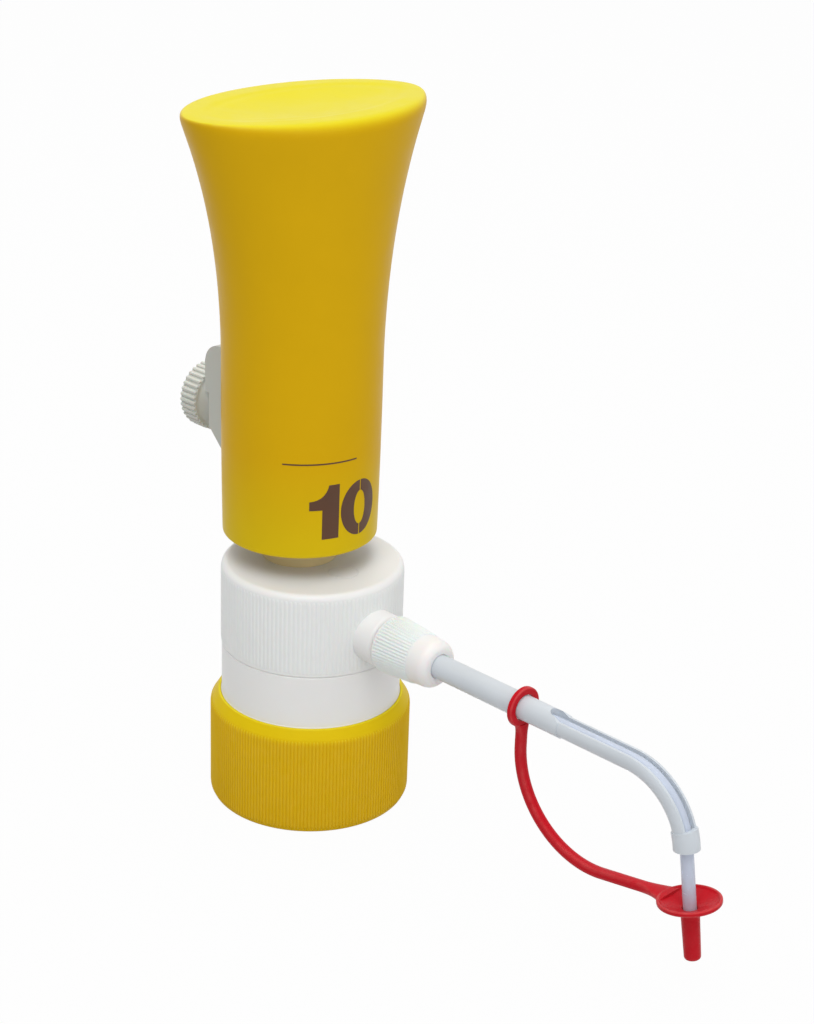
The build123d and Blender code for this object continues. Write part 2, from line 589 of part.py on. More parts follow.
def ferrule_path():
    """Centre line of the ferrule: the last stretch of the bend and the start of the tip."""
    bend = spout_bend()
    last = bend.trim(1 - FERRULE_BEFORE / bend.length, 1)
    return Plane.XZ * (last + Line(bend @ 1, bend @ 1 + (bend % 1) * FERRULE_AFTER))


def tip_plane(past_bend):
    """Plane across the tip at a length beyond the bend, its normal pointing out of the tip."""
    bend = spout_bend()
    point = bend @ 1 + (bend % 1) * past_bend
    direction = bend % 1
    return Plane(origin=(point.X, 0, point.Y), x_dir=(0, 1, 0), z_dir=(direction.X, 0, direction.Y))


def sheath_window():
    """Cut for the open side: a slanted end and the round start of the slot over the tube."""
    scarf = Plane.XZ * make_face(Polyline([
        (SHEATH_END_X - SHEATH_SCARF, OUTLET_Z + SHEATH_R), (SHEATH_END_X, OUTLET_Z + SHEATH_R),
        (SHEATH_END_X, OUTLET_Z + CARRIER_TOP)], close=True))
    length = 2 * (SHEATH_END_X - WINDOW_START_X)
    slot = extrude(SlotOverall(length, CARRIER_SLOT), SHEATH_R)
    return extrude(scarf, SHEATH_R, both=True) + Pos(WINDOW_START_X + length / 2, 0, OUTLET_Z) * slot


def spout_sheath():
    """Closed sheath from the nut, open carrier round the bend and a closed ferrule at its end."""
    slot = Pos(0, SHEATH_R) * Rectangle(CARRIER_SLOT, 2 * SHEATH_R)
    above = Pos(0, CARRIER_TOP + SHEATH_R) * Rectangle(2 * SHEATH_R, 2 * SHEATH_R)
    start = OUTLET_PLANE.offset(SHEATH_END_X)
    carrier = sweep(start * (Circle(CARRIER_R) - above - slot - Circle(CARRIER_SLOT / 2)),
                    path=spout_path(SHEATH_END_X, FERRULE_AFTER))
    closed = along_x(OUTLET_PLANE, Circle(SHEATH_R), TUBE_START_X, SHEATH_END_X)
    closed += along_x(OUTLET_PLANE, Circle(STUB_R - FIT), TUBE_START_X, TUBE_START_X + SPOUT_FLANGE)
    closed -= along_x(OUTLET_PLANE, Circle(CARRIER_SLOT / 2), TUBE_START_X, SHEATH_END_X)
    path = ferrule_path()
    section = Plane(origin=path @ 0, z_dir=path % 0) * (Circle(FERRULE_R) - Circle(CARRIER_SLOT / 2))
    ferrule = sweep(section, path=path)
    return closed - sheath_window() + carrier + ferrule


def discharge_tube():
    section = OUTLET_PLANE.offset(TUBE_START_X) * (Circle(TUBE_R) - Circle(TUBE_BORE_R))
    return sweep(section, path=spout_path(TUBE_START_X, TIP_LENGTH))


def closure_cap():
    """Shallow funnel flange with a lip, and the blind tube that closes the tip."""
    lip_r = CAP_DISC_R - CAP_LIP
    body = revolved([
        (0, 0), (CAP_DISC_R, 0), (CAP_DISC_R, CAP_DISC_THICKNESS),
        (CAP_TUBE_R + CAP_DISC_THICKNESS, CAP_DISC_THICKNESS + CAP_FUNNEL / 2),
        (CAP_TUBE_R, CAP_FUNNEL + CAP_DISC_THICKNESS),
        (CAP_TUBE_TIP_R, CAP_TUBE_LENGTH - CAP_TUBE_TIP_R / 2), (CAP_TUBE_TIP_R / 2, CAP_TUBE_LENGTH),
        (0, CAP_TUBE_LENGTH)])
    bore_r = TUBE_R + CAP_GRIP
    funnel = revolved([
        (0, -CUT), (lip_r, -CUT), (lip_r, 0), (bore_r, CAP_FUNNEL), (bore_r, CAP_BORE_DEPTH),
        (0, CAP_BORE_DEPTH)])
    return tip_plane(CAP_DISC_DOWN) * (body - funnel)


def cap_ring():
    section = Circle(RING_R) - Circle(SHEATH_R + STRAP_PLAY / 2)
    return along_x(OUTLET_PLANE, section, RING_X - RING_WIDTH / 2, RING_X + RING_WIDTH / 2)


def cap_strap():
    """Flat strap: straight down from the ring, round a bend and up to the cap's flange."""
    rise = radians(STRAP_RISE)
    disc = tip_plane(CAP_DISC_DOWN + STRAP_THICKNESS / 2).origin
    centre_x = RING_X + STRAP_BEND_R
    centre_z = disc.Z + (STRAP_BEND_R + (centre_x - disc.X) * sin(rise)) / cos(rise)
    top_z = OUTLET_Z - RING_R - STRAP_PLAY
    reach = (disc.X - centre_x - STRAP_BEND_R * sin(rise)) / cos(rise) - CAP_DISC_R - STRAP_PLAY
    drop = Line((RING_X, top_z), (RING_X, centre_z))
    bend = JernArc(start=(RING_X, centre_z), tangent=(0, -1), radius=STRAP_BEND_R, arc_size=90 + STRAP_RISE)
    run = Line(bend @ 1, bend @ 1 + (bend % 1) * reach)
    start = Plane(origin=(RING_X, 0, top_z), x_dir=(0, 1, 0), z_dir=(0, 0, -1))
    return sweep(start * Rectangle(STRAP_WIDTH, STRAP_THICKNESS), path=Plane.XZ * (drop + bend + run))


PIECES = [
    screw_collar, block_base, block_shell, bottle_gasket, intake_nipple, intake_seat, intake_cage, intake_ball,
    discharge_seat, discharge_ball, valve_plug, barrel, barrel_guard, barrel_seal, guide_ring, piston_head,
    piston_seals, piston_rod, rod_nut, sleeve, top_lid, stop_slider, clamp_plate, clamp_knob, clamp_screw,
    union_nut, spout_sheath, discharge_tube, cap_ring, cap_strap, closure_cap,
]

os.makedirs("parts", exist_ok=True)
for piece in PIECES:
    solid = piece()
    solid.label = piece.__name__
    export_step(solid, os.path.join("parts", piece.__name__ + ".step"))
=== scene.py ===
import math

import bmesh
import bpy
from mathutils import Matrix, Vector


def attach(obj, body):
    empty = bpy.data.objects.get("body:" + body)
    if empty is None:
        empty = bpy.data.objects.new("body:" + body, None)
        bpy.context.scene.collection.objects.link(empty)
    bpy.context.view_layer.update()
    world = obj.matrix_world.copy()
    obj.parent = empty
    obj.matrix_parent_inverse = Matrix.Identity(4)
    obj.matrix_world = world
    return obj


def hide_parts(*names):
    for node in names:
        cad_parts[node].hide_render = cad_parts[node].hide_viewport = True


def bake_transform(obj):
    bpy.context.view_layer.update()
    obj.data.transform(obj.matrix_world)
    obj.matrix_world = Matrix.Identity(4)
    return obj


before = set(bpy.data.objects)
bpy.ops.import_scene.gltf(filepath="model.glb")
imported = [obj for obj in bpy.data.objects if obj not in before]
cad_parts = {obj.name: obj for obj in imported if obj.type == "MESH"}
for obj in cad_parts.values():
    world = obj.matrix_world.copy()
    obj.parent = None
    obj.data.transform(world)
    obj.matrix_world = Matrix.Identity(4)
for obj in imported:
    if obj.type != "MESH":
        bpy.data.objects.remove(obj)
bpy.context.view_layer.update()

bl_info = {
    "name": "Bottle Top Dispenser",
    "version": (1, 0, 0),
    "blender": (4, 5, 0),
    "location": "View3D > Sidebar > Dispenser",
    "description": "Dresses the packed dispenser with its detailed pieces, finishes and stage",
    "category": "Object",
}

MM = 0.001
SMOOTH_ANGLE = math.radians(34)
PRINT_ANGLE = math.radians(40)
SLEEVE_ANGLE = math.radians(50)
FULL_TURN = 2 * math.pi
HALF_TURN = math.pi
QUARTER_TURN = math.pi / 2
RIB_STATIONS = 6
RIB_INNER_STATION = 0.2
RIB_SIDES = 8
THREAD_SIDES = 6
THREAD_TURNS = 3.2
INK_BODY = 0.04 * MM  # how far print stands proud
INK_EDGE = 0.9 * MM   # longest edge of print wrapped round the sleeve
DISH_FLOOR = 0.9 * MM  # from the rim's top to the underside of the skin
POINTED = 0.12        # how much the oval's ends narrow at the top
SLOT_ARC_STEPS = 32
SLOT_ROOM = (-40 * MM, -16 * MM)  # from outside the back wall to inside it
WHITE = (1.0, 1.0, 1.0, 1.0)
WEAR_FROM = 0.25      # bend of an edge where wear starts
WEAR_SPAN = 1.4       # and how much more bend wears it fully
PAINTED_LIGHT_POWER = 1.5      # how quickly the painted top light falls off as a face turns from straight up
ONE_SHOULDER = 1.7 * MM  # of the figure one's top beside its stem
ONE_FLAG_LOW = 6.6 * MM  # from the one's top to its flag's lower edge
ONE_FLAG_TIP = 2.4 * MM  # height of the flag's tip
ONE_FLAG_BEND = (0.9 * MM, 0.3 * MM)  # of the flag's upper edge
STRAP_AT_RING = (2.6 * MM, 1.6, 0.9 * MM)  # reach, power and growth of the strap's root
STRAP_AT_DISC = (8.5 * MM, 1.7, 3.0 * MM)  # the same at its other end


# ---------------------------------------------------------------- settings


def number(name, description, default, **options):
    """A plain number."""
    return bpy.props.FloatProperty(name=name, description=description, default=default, **options)


def whole(name, description, default, least=8):
    """A count."""
    return bpy.props.IntProperty(name=name, description=description, default=default, min=least)


def millimetres(name, description, default, **options):
    """A length in metres, written in millimetres."""
    return number(name, description, default * MM, **{"min": 0.0, "unit": "LENGTH", "precision": 5, **options})


def position(name, description, default):
    """A place along one axis of the frame, which may be negative."""
    return millimetres(name, description, default, min=-1.0)


def slant(name, description, degrees):
    """An angle, written in degrees."""
    return number(name, description, math.radians(degrees), subtype="ANGLE")


def tint(name, description, default):
    """A finish colour."""
    return bpy.props.FloatVectorProperty(
        name=name, description=description, default=default, subtype="COLOR", size=3, min=0.0, max=1.0)


class CollarSettings(bpy.types.PropertyGroup):
    """Sizes of the screw collar."""

    radius: millimetres("Radius", "Outside radius over the ribs", 26.5)
    height: position("Height", "Height of the collar", 29.4)
    rib_count: whole("Ribs", "Grip ribs round the collar", 178, 12)
    rib_height: millimetres("Rib Height", "How far a rib stands out", 0.26)
    shoulder: millimetres("Shoulder", "Height of the smooth cone above the ribs", 2.9)
    neck_radius: millimetres("Neck Radius", "Radius of the hole round the valve block", 23.75)
    bore_radius: millimetres("Bore Radius", "Radius of the hollow for the bottle's neck", 22.8)
    bore_depth: millimetres("Bore Depth", "Depth of the hollow for the bottle's neck", 20.5)
    lip: millimetres("Lip", "Thickness of the lip that holds the block", 4.2)
    wall: millimetres("Wall", "Wall round the hollow for the block's flange", 1.3)
    thread_pitch: millimetres("Thread Pitch", "Rise of the bottle thread in one turn", 4.0)
    thread_foot: millimetres("Thread Foot", "Level where the bottle thread starts", 3.0)
    thread_ridge: millimetres("Thread Ridge", "Radius of the thread's ridge", 0.75)
    colour: tint("Colour", "Collar plastic", (0.72, 0.455, 0.003))
    # painted top light: a lighter colour for the collar's faces that face up
    faded: tint("Faded", "Collar plastic on faces that face up", (0.78, 0.64, 0.007))


class BlockSettings(bpy.types.PropertyGroup):
    """Sizes of the valve block's ribbed shell."""

    radius: millimetres("Radius", "Radius of the shell", 23.7)
    rib_count: whole("Ribs", "Fine ribs round the shell", 129, 12)
    rib_height: millimetres("Rib Height", "How far a fine rib stands out", 0.1)
    rib_low: position("Rib Foot", "Level where the fine ribs start", 44.5)
    rib_high: position("Rib Top", "Level where the fine ribs end", 64.9)
    colour: tint("Colour", "Block plastic", (0.84, 0.84, 0.83))
    # painted top light: a lighter colour for the block's faces that face up
    faded: tint("Faded", "Block plastic on faces that face up", (0.93, 0.925, 0.91))


class NutSettings(bpy.types.PropertyGroup):
    """Sizes of the union nut."""

    start: millimetres("Start", "Distance of the nut's inner end from the bottle axis", 29.6)
    end: millimetres("End", "Distance of the nut's outer end from the bottle axis", 47.0)
    radius: millimetres("Radius", "Radius of the inner end over the ribs", 7.6)
    tip_radius: millimetres("Tip Radius", "Radius of the cone at its outer end", 6.3)
    grip: millimetres("Grip Length", "Length of the ribbed part", 11.5)
    rib_count: whole("Ribs", "Grip ribs round the nut", 52)
    rib_height: millimetres("Rib Height", "How far a rib stands out", 0.24)
    thread_bore: millimetres("Thread Bore", "Radius of the hole for the stub", 4.66)
    sheath_bore: millimetres("Sheath Bore", "Radius of the hole for the sheath", 3.16)
    shoulder: millimetres("Shoulder", "Distance of the step between the holes from the bottle axis", 40.4)
    axis_height: position("Axis Height", "Level of the spout's axis", 53.0)
    colour: tint("Colour", "Nut plastic", (0.86, 0.845, 0.835))


class SleeveSettings(bpy.types.PropertyGroup):
    """Sizes of the lifting sleeve."""

    axis: position("Axis", "Place of the sleeve's axis along the spout", -5.2)
    foot: position("Foot", "Level of the lower rim", 73.3)
    top: position("Top", "Level of the upper rim", 184.8)
    radius: millimetres("Radius", "Outside radius of the round shaft", 20.45)
    taper: millimetres("Foot Taper", "How much narrower the foot is", 0.45)
    bore: millimetres("Bore", "Inside radius", 17.95)
    flare_start: position("Flare Start", "Level where the shaft begins to widen", 117.5)
    flare_radius: millimetres("Flare Radius", "Radius of the flare's side line", 152.5)
    widening: millimetres("Widening", "Growth along the spout at the top", 2.6)
    bore_end: position("Bore End", "Level where the round bore ends", 134.8)
    lid_seat: position("Lid Seat", "Level of the shelf under the lid", 180.3)
    rim_round: millimetres("Rim Round", "Rounding of the upper rim", 4.6)
    crisp: number("Crisp Ends", "Share of the rounding's depth at the oval's ends", 0.3, min=0.1, max=1.0)
    shelf: millimetres("Shelf", "How far the shelf under the lid stands in", 1.2)
    rim_width: millimetres("Rim Width", "Width of the rim at the oval's ends", 5.2)
    rim_side: millimetres("Rim Side", "Width of the rim at the oval's sides", 3.9)
    band: millimetres("Rim Band", "Width of the band from the rim's outside to the dish", 8.6)
    step: millimetres("Dish Step", "Soft step between the band and the dish", 0.3)
    dish: millimetres("Dish", "Depth of the hollow in the top", 1.5)
    # painted bounce light: the sleeve's foot is painted paler over this height, towards the lighter colour
    foot_fade: millimetres("Foot Light", "Height over which the foot is paler", 26.0)
    foot_share: number("Foot Share", "How far the foot goes towards the faded colour", 0.45, min=0.0, max=1.0)
    slot_low: position("Slot Foot", "Level of the slot's lower end", 78.8)
    slot_high: position("Slot Top", "Level of the slot's upper end", 132.2)
    slot_width: millimetres("Slot Width", "Width of the volume slot", 8.0)
    colour: tint("Colour", "Sleeve plastic", (0.69, 0.405, 0.003))
    # painted top light: a lighter colour for the sleeve's faces that face up, also used for painted bounce
    # light at its foot
    faded: tint("Faded", "Sleeve plastic on faces that face up", (0.71, 0.615, 0.008))


class PrintSettings(bpy.types.PropertyGroup):
    """Sizes of the print, its places given as arcs round the sleeve and levels."""

    one_height: millimetres("One Height", "Height of the figure one", 14.6)
    one_stem: millimetres("One Stem", "Width of the one's stem", 4.6)
    one_flag: millimetres("One Flag", "How far the one's flag reaches", 3.4)
    one_across: position("One Across", "Arc from straight ahead to the one's stem", -4.9)
    one_foot: position("One Foot", "Level of the one's foot", 78.5)
    nought_width: millimetres("Nought Width", "Width of the nought", 12.3)
    nought_height: millimetres("Nought Height", "Height of the nought", 14.9)
    nought_stroke: millimetres("Nought Stroke", "Stroke of the nought", 4.1)
    nought_cut: millimetres("Nought Cut", "Gap between the nought's halves", 0.3)
    nought_across: position("Nought Across", "Arc from straight ahead to the nought's middle", 1.8)
    nought_foot: position("Nought Foot", "Level of the nought's foot", 77.9)
    line_length: millimetres("Line Length", "Length of the line over the figures", 19.9)
    line_width: millimetres("Line Width", "Width of the line over the figures", 0.38)
    line_across: position("Line Across", "Arc from straight ahead to the line's left end", -19.8)
    line_level: position("Line Level", "Level of the line over the figures", 98.9)
    marks: whole("Marks", "Graduations in one column", 41)
    mark_step: millimetres("Mark Step", "Rise from one graduation to the next", 1.0)
    mark_short: millimetres("Short Mark", "Length of a short graduation", 1.6)
    mark_long: millimetres("Long Mark", "Length of every fifth graduation", 2.8)
    mark_width: millimetres("Mark Width", "Width of a graduation", 0.22)
    marks_across: millimetres("Marks Across", "Arc from the slot's middle to a column", 8.0)
    marks_foot: position("Marks Foot", "Level of the lowest graduation", 85.5)
    digit_size: millimetres("Digit Size", "Size of the scale's figures", 3.4)
    digit_weight: millimetres("Digit Weight", "Extra weight of the scale's figures", 0.04)
    digit_across: millimetres("Digit Across", "Arc from the slot's middle to the figures", 13.2)
    set_volume: whole("Set Volume", "Volume that the slider stands at", 7, 1)
    set_level: position("Set Level", "Level of the figure that the slider stands at", 100.5)
    stroke: millimetres("Stroke", "Stroke for one unit of volume", 5.0)
    ink: tint("Ink", "Colour of the print", (0.085, 0.030, 0.008))


class SliderSettings(bpy.types.PropertyGroup):
    """Sizes of the volume slider's knob."""

    height: position("Knob Height", "Level of the knob's axis", 100.5)
    shoulder_end: position("Shoulder End", "Place of the knob's inner end", -33.65)
    shoulder: millimetres("Shoulder", "Length of the smooth cone", 3.2)
    drum: millimetres("Drum", "Length of the ribbed drum", 6.4)
    radius: millimetres("Radius", "Radius over the ribs", 9.0)
    shoulder_radius: millimetres("Shoulder Radius", "Radius where cone and drum meet", 7.7)
    neck_radius: millimetres("Neck Radius", "Radius of the cone's small end", 5.2)
    rib_count: whole("Ribs", "Grip ribs round the knob", 36)
    colour: tint("Colour", "Slider and knob plastic", (0.52, 0.53, 0.485))
    # painted top light: a lighter colour for the slider's faces that face up
    faded: tint("Faded", "Slider plastic on faces that face up", (0.74, 0.75, 0.69))


class SpoutSettings(bpy.types.PropertyGroup):
    """Sizes of the spout that its closure follows."""

    axis_height: position("Axis Height", "Level of the spout's axis", 53.0)
    bend_start: millimetres("Bend Start", "Distance of the bend from the bottle axis", 108.5)
    bend_radius: millimetres("Bend Radius", "Radius of the spout's bend", 18.0)
    tip_lean: slant("Tip Lean", "Lean of the tip outward from straight down", 9.5)
    sheath: tint("Sheath Colour", "Outer sheath and carrier", (0.74, 0.79, 0.84))
    tube: tint("Tube Colour", "Tube inside the sheath", (0.70, 0.77, 0.90))


class ClosureSettings(bpy.types.PropertyGroup):
    """Sizes of the tethered closure."""

    ring_place: millimetres("Ring Place", "Distance of the ring from the bottle axis", 74.8)
    ring_radius: millimetres("Ring Radius", "Outside radius of the ring", 5.1)
    ring_bore: millimetres("Ring Bore", "Inside radius of the ring", 3.25)
    ring_width: millimetres("Ring Width", "Length of the ring along the sheath", 1.5)
    strap_width: millimetres("Strap Width", "Width of the strap across the spout", 2.7)
    strap_depth: millimetres("Strap Depth", "Thickness of the strap", 2.5)
    strap_radius: millimetres("Strap Bend", "Radius of the strap's bend", 23.5)
    strap_rise: slant("Strap Rise", "Slope of the strap where it meets the disc", 10.5)
    disc_down: millimetres("Disc Place", "Distance of the disc from the end of the bend", 13.2)
    disc_radius: millimetres("Disc Radius", "Radius of the disc", 7.65)
    tube_radius: millimetres("Cap Radius", "Radius of the blind tube under the disc", 2.25)
    tube_tip: millimetres("Cap Tip Radius", "Radius of the blind tube at its end", 2.0)
    tube_length: millimetres("Cap Length", "Length of the blind tube", 15.3)
    bore_radius: millimetres("Cap Bore", "Radius of the hole for the tip", 1.65)
    bore_depth: millimetres("Cap Bore Depth", "Depth of the hole for the tip", 10.5)
    colour: tint("Colour", "Closure plastic", (0.53, 0.006, 0.015))


class StageSettings(bpy.types.PropertyGroup):
    """Camera, lamps and floor."""

    lens: number("Lens", "Focal length", 77.34, unit="CAMERA")
    floor: tint("Floor", "Floor and backdrop", (0.60, 0.60, 0.60))
    floor_size: number("Floor Size", "Length of the floor's sides", 6.0, unit="LENGTH")
    key_power: number("Key", "Power of the main softbox", 6.9, unit="POWER")
    fill_power: number("Fill", "Power of the side softbox", 1.7, unit="POWER")
    top_power: number("Top", "Power of the overhead softbox", 6.0, unit="POWER")
    sky: number("Sky", "Light from all round", 0.53, min=0.0)


def settings(name):
    """The scene's settings for one group of pieces."""
    return getattr(bpy.context.scene, "dispenser_" + name)


# ---------------------------------------------------------------- mesh helpers


def softened(corners, steps=5):
    """A closed outline from (across, along, rounding) corners, each rounded by a short curve."""
    outline = []
    count = len(corners)
    for index, (across, along, rounding) in enumerate(corners):
        here = Vector((across, along))
        if rounding <= 0:
            outline.append(here)
            continue
        before = Vector(corners[index - 1][:2]) - here
        after = Vector(corners[(index + 1) % count][:2]) - here
        reach = min(rounding, 0.49 * before.length, 0.49 * after.length)
        start = here + before.normalized() * reach
        end = here + after.normalized() * reach
        for step in range(steps + 1):
            share = step / steps
            outline.append(start * (1 - share) ** 2 + here * 2 * share * (1 - share) + end * share**2)
    return outline


def new_object(name, mesh):
    """An object at the origin in the scene's own collection."""
    obj = bpy.data.objects.new(name, mesh)
    bpy.context.scene.collection.objects.link(obj)
    return obj


def tidy_mesh(mesh, angle=SMOOTH_ANGLE):
    """Merges doubles, turns the faces outwards and shades smooth up to an angle."""
    body = bmesh.new()
    body.from_mesh(mesh)
    bmesh.ops.remove_doubles(body, verts=body.verts, dist=1e-8)
    bmesh.ops.dissolve_degenerate(body, edges=body.edges, dist=1e-9)
    bmesh.ops.recalc_face_normals(body, faces=body.faces)
    for face in body.faces:
        face.smooth = True
    for edge in body.edges:
        edge.smooth = edge.calc_face_angle(0.0) < angle
    body.to_mesh(mesh)
    body.free()


def mesh_object(name, points, faces, angle=SMOOTH_ANGLE):
    """A mesh object from points in metres."""
    mesh = bpy.data.meshes.new(name)
    mesh.from_pydata([tuple(p) for p in points], [], faces)
    tidy_mesh(mesh, angle)
    return new_object(name, mesh)


def ring_faces(first, second, count):
    """Quads between two closed rows of points."""
    return [(first + i, first + (i + 1) % count, second + (i + 1) % count, second + i) for i in range(count)]


def turned(name, outline, place=None, steps=160, angle=SMOOTH_ANGLE):
    """A turned piece from a closed (radius, height) outline about Z, then put in its place."""
    points, faces, rows = [], [], []
    for across, along in outline:
        rows.append(len(points))
        for step in range(steps):
            turn = FULL_TURN * step / steps
            points.append((across * math.cos(turn), across * math.sin(turn), along))
    for index, row in enumerate(rows):
        following = (index + 1) % len(rows)
        if max(outline[index][0], outline[following][0]) > 0:
            faces += ring_faces(row, rows[following], steps)
    obj = mesh_object(name, points, faces, angle)
    if place is not None:
        obj.data.transform(place)
    return obj


def swept(name, stations):
    """A closed piece through rows of points, capped at both ends."""
    count = len(stations[0])
    points = [p for row in stations for p in row]
    faces = []
    for row in range(len(stations) - 1):
        faces += ring_faces(row * count, (row + 1) * count, count)
    faces.append(tuple(range(count)))
    faces.append(tuple(range(len(points) - count, len(points))))
    return mesh_object(name, points, faces)


def along_spout(station, level):
    """Place of a piece whose own Z runs along the spout's axis."""
    return Matrix.Translation((station, 0, level)) @ Matrix.Rotation(QUARTER_TURN, 4, "Y")


def mark_surface(obj):
    """Stores how sharply the surface turns outwards and how far it faces up, for wear and for painted top light
    on upward faces.
    """
    body = bmesh.new()
    body.from_mesh(obj.data)
    worn = body.verts.layers.float.new("edge_wear")
    upward = body.verts.layers.float.new("painted_light_share")
    body.normal_update()
    for vertex in body.verts:
        bend = 0.0
        for edge in vertex.link_edges:
            if len(edge.link_faces) != 2 or edge.calc_length() < 1e-9:
                continue
            reach = sum(face.calc_area() for face in edge.link_faces) / edge.calc_length()
            bend = max(bend, edge.calc_face_angle_signed(0.0) / max(reach, 1e-5) * 2 * MM)
        vertex[worn] = min(max((bend - WEAR_FROM) / WEAR_SPAN, 0.0), 1.0)
        # painted top light: the more a face points up, the larger its share of a lighter painted colour
        vertex[upward] = min(max(vertex.normal.z, 0.0), 1.0) ** PAINTED_LIGHT_POWER
    body.to_mesh(obj.data)
    body.free()


def dress(obj, material, body, slot, *nodes):
    """Gives a finished piece its material, its surface marks and its body if it rides one, and hides the nodes
    it stands for; its slot is not used.
    """
    obj.data.materials.clear()
    obj.data.materials.append(material)
    mark_surface(obj)
    if body:
        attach(obj, body)
    if nodes:
        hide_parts(*nodes)
    return obj


def finish_nodes(material, *nodes):
    """A better material on CAD nodes, through their objects' own slots."""
    for node in nodes:
        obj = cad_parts[node]
        if not obj.material_slots:
            obj.data.materials.append(None)
        for place in obj.material_slots:
            place.link = "OBJECT"
            place.material = material


# ---------------------------------------------------------------- geometry nodes


class Tree:
    """Short hand for building one node tree."""

    def __init__(self, tree):
        self.tree = tree

    def node(self, kind, inputs=None, **options):
        made = self.tree.nodes.new(kind)
        for key, value in options.items():
            setattr(made, key, value)
        for key, value in (inputs or {}).items():
            self.feed(made.inputs[key], value)
        return made

    def out(self, kind, inputs=None, **options):
        return self.node(kind, inputs, **options).outputs[0]

    def feed(self, socket, value):
        if isinstance(value, bpy.types.NodeSocket):
            self.tree.links.new(value, socket)
        else:
            socket.default_value = value

    def maths(self, operation, first, second=0.0, third=None):
        inputs = {0: first, 1: second}
        if third is not None:
            inputs[2] = third
        return self.out("ShaderNodeMath", inputs, operation=operation)

    def times(self, first, second):
        return self.maths("MULTIPLY", first, second)

    def plus(self, first, second):
        return self.maths("ADD", first, second)

    def minus(self, first, second):
        return self.maths("SUBTRACT", first, second)


def node_tree(name, kind, inputs, outputs):
    """A node tree and its inputs, with the sockets' names listed under their kind."""
    group = bpy.data.node_groups.new(name, kind)
    for side, sockets in (("INPUT", inputs), ("OUTPUT", outputs)):
        for socket, labels in sockets.items():
            for label in labels:
                group.interface.new_socket(name=label, in_out=side, socket_type="NodeSocket" + socket)
    tree = Tree(group)
    return tree, tree.node("NodeGroupInput").outputs


def geometry_tree(name, **inputs):
    """A geometry node tree with named inputs and one geometry output."""
    return node_tree(name, "GeometryNodeTree", inputs, {"Geometry": ["Geometry"]})


def close_tree(tree, geometry):
    """Realizes instances, shades them smooth and ends the tree."""
    real = tree.out("GeometryNodeRealizeInstances", {"Geometry": geometry})
    smooth = tree.out("GeometryNodeSetShadeSmooth", {"Geometry": real})
    tree.node("NodeGroupOutput", {"Geometry": smooth})
    return tree.tree


def tube_along(tree, curve, sides, scale):
    """A closed tube along a curve, its radius given by a value."""
    circle = tree.out("GeometryNodeCurvePrimitiveCircle", {"Resolution": sides, "Radius": 1.0}, mode="RADIUS")
    return tree.out("GeometryNodeCurveToMesh", {
        "Curve": curve, "Profile Curve": circle, "Fill Caps": True, "Scale": scale})


def end_distance(tree, share):
    """How near a share of the way is to the nearer end."""
    return tree.maths("MINIMUM", share, tree.minus(1.0, share))


def rib_ring_tree():
    """Even grip ribs round the Z axis, each a rod that swells and ends softly."""
    tree, given = geometry_tree("Rib Ring", Int=["Count"], Float=[
        "Low Radius", "High Radius", "Low", "High", "Rib Radius", "Flatness", "End Share"])
    start = tree.out("ShaderNodeCombineXYZ", {"X": 0.0, "Z": given["Low"]})
    growth = tree.minus(given["High Radius"], given["Low Radius"])
    lean = tree.maths("DIVIDE", growth, given["Flatness"])
    end = tree.out("ShaderNodeCombineXYZ", {"X": lean, "Z": given["High"]})
    line = tree.out("GeometryNodeCurvePrimitiveLine", {"Start": start, "End": end})
    dense = tree.out("GeometryNodeResampleCurve", {"Curve": line, "Count": RIB_STATIONS})
    share = tree.node("GeometryNodeSplineParameter").outputs["Factor"]
    middle = tree.minus(1.0, tree.times(share, 2.0))
    straight = tree.minus(1.0, tree.times(given["End Share"], 2.0))
    ease = tree.maths("LOGARITHM", straight, RIB_INNER_STATION)
    pushed = tree.maths("POWER", tree.maths("ABSOLUTE", middle), ease)
    signed = tree.times(tree.maths("SIGN", middle), pushed)
    along = tree.minus(0.5, tree.times(signed, 0.5))
    place = tree.node("ShaderNodeMix", {"Factor": along, 4: start, 5: end}, data_type="VECTOR").outputs[1]
    eased = tree.out("GeometryNodeSetPosition", {"Geometry": dense, "Position": place})
    into = tree.maths("MINIMUM", tree.maths("DIVIDE", end_distance(tree, share), given["End Share"]), 1.0)
    left = tree.maths("POWER", tree.minus(1.0, into), 2.0)
    swell = tree.maths("SQRT", tree.maths("MAXIMUM", tree.minus(1.0, left), 0.01))
    rib = tube_along(tree, eased, RIB_SIDES, tree.times(swell, given["Rib Radius"]))
    points = tree.out("GeometryNodePoints", {"Count": given["Count"]})
    index = tree.out("GeometryNodeInputIndex")
    turn = tree.maths("DIVIDE", tree.times(index, FULL_TURN), given["Count"])
    spread = tree.out("ShaderNodeCombineXYZ", {
        "X": tree.times(tree.maths("COSINE", turn), given["Low Radius"]),
        "Y": tree.times(tree.maths("SINE", turn), given["Low Radius"])})
    placed = tree.out("GeometryNodeSetPosition", {"Geometry": points, "Position": spread})
    rotation = tree.out("ShaderNodeCombineXYZ", {"Z": turn})
    flat = tree.out("ShaderNodeCombineXYZ", {"X": given["Flatness"], "Y": 1.0, "Z": 1.0})
    ribs = tree.out("GeometryNodeInstanceOnPoints", {
        "Points": placed, "Instance": rib, "Rotation": rotation, "Scale": flat})
    return close_tree(tree, ribs)


def thread_tree():
    """A helical ridge round the Z axis."""
    tree, given = geometry_tree("Thread Ridge", Float=["Radius", "Turns", "Rise", "Ridge"])
    helix = tree.out("GeometryNodeCurveSpiral", {
        "Resolution": 96, "Rotations": given["Turns"], "Start Radius": given["Radius"],
        "End Radius": given["Radius"], "Height": given["Rise"]})
    share = tree.node("GeometryNodeSplineParameter").outputs["Factor"]
    nearest = end_distance(tree, share)
    fade = tree.maths("MINIMUM", tree.plus(tree.times(nearest, 22.0), 0.05), 1.0)
    return close_tree(tree, tube_along(tree, helix, THREAD_SIDES, tree.times(fade, given["Ridge"])))


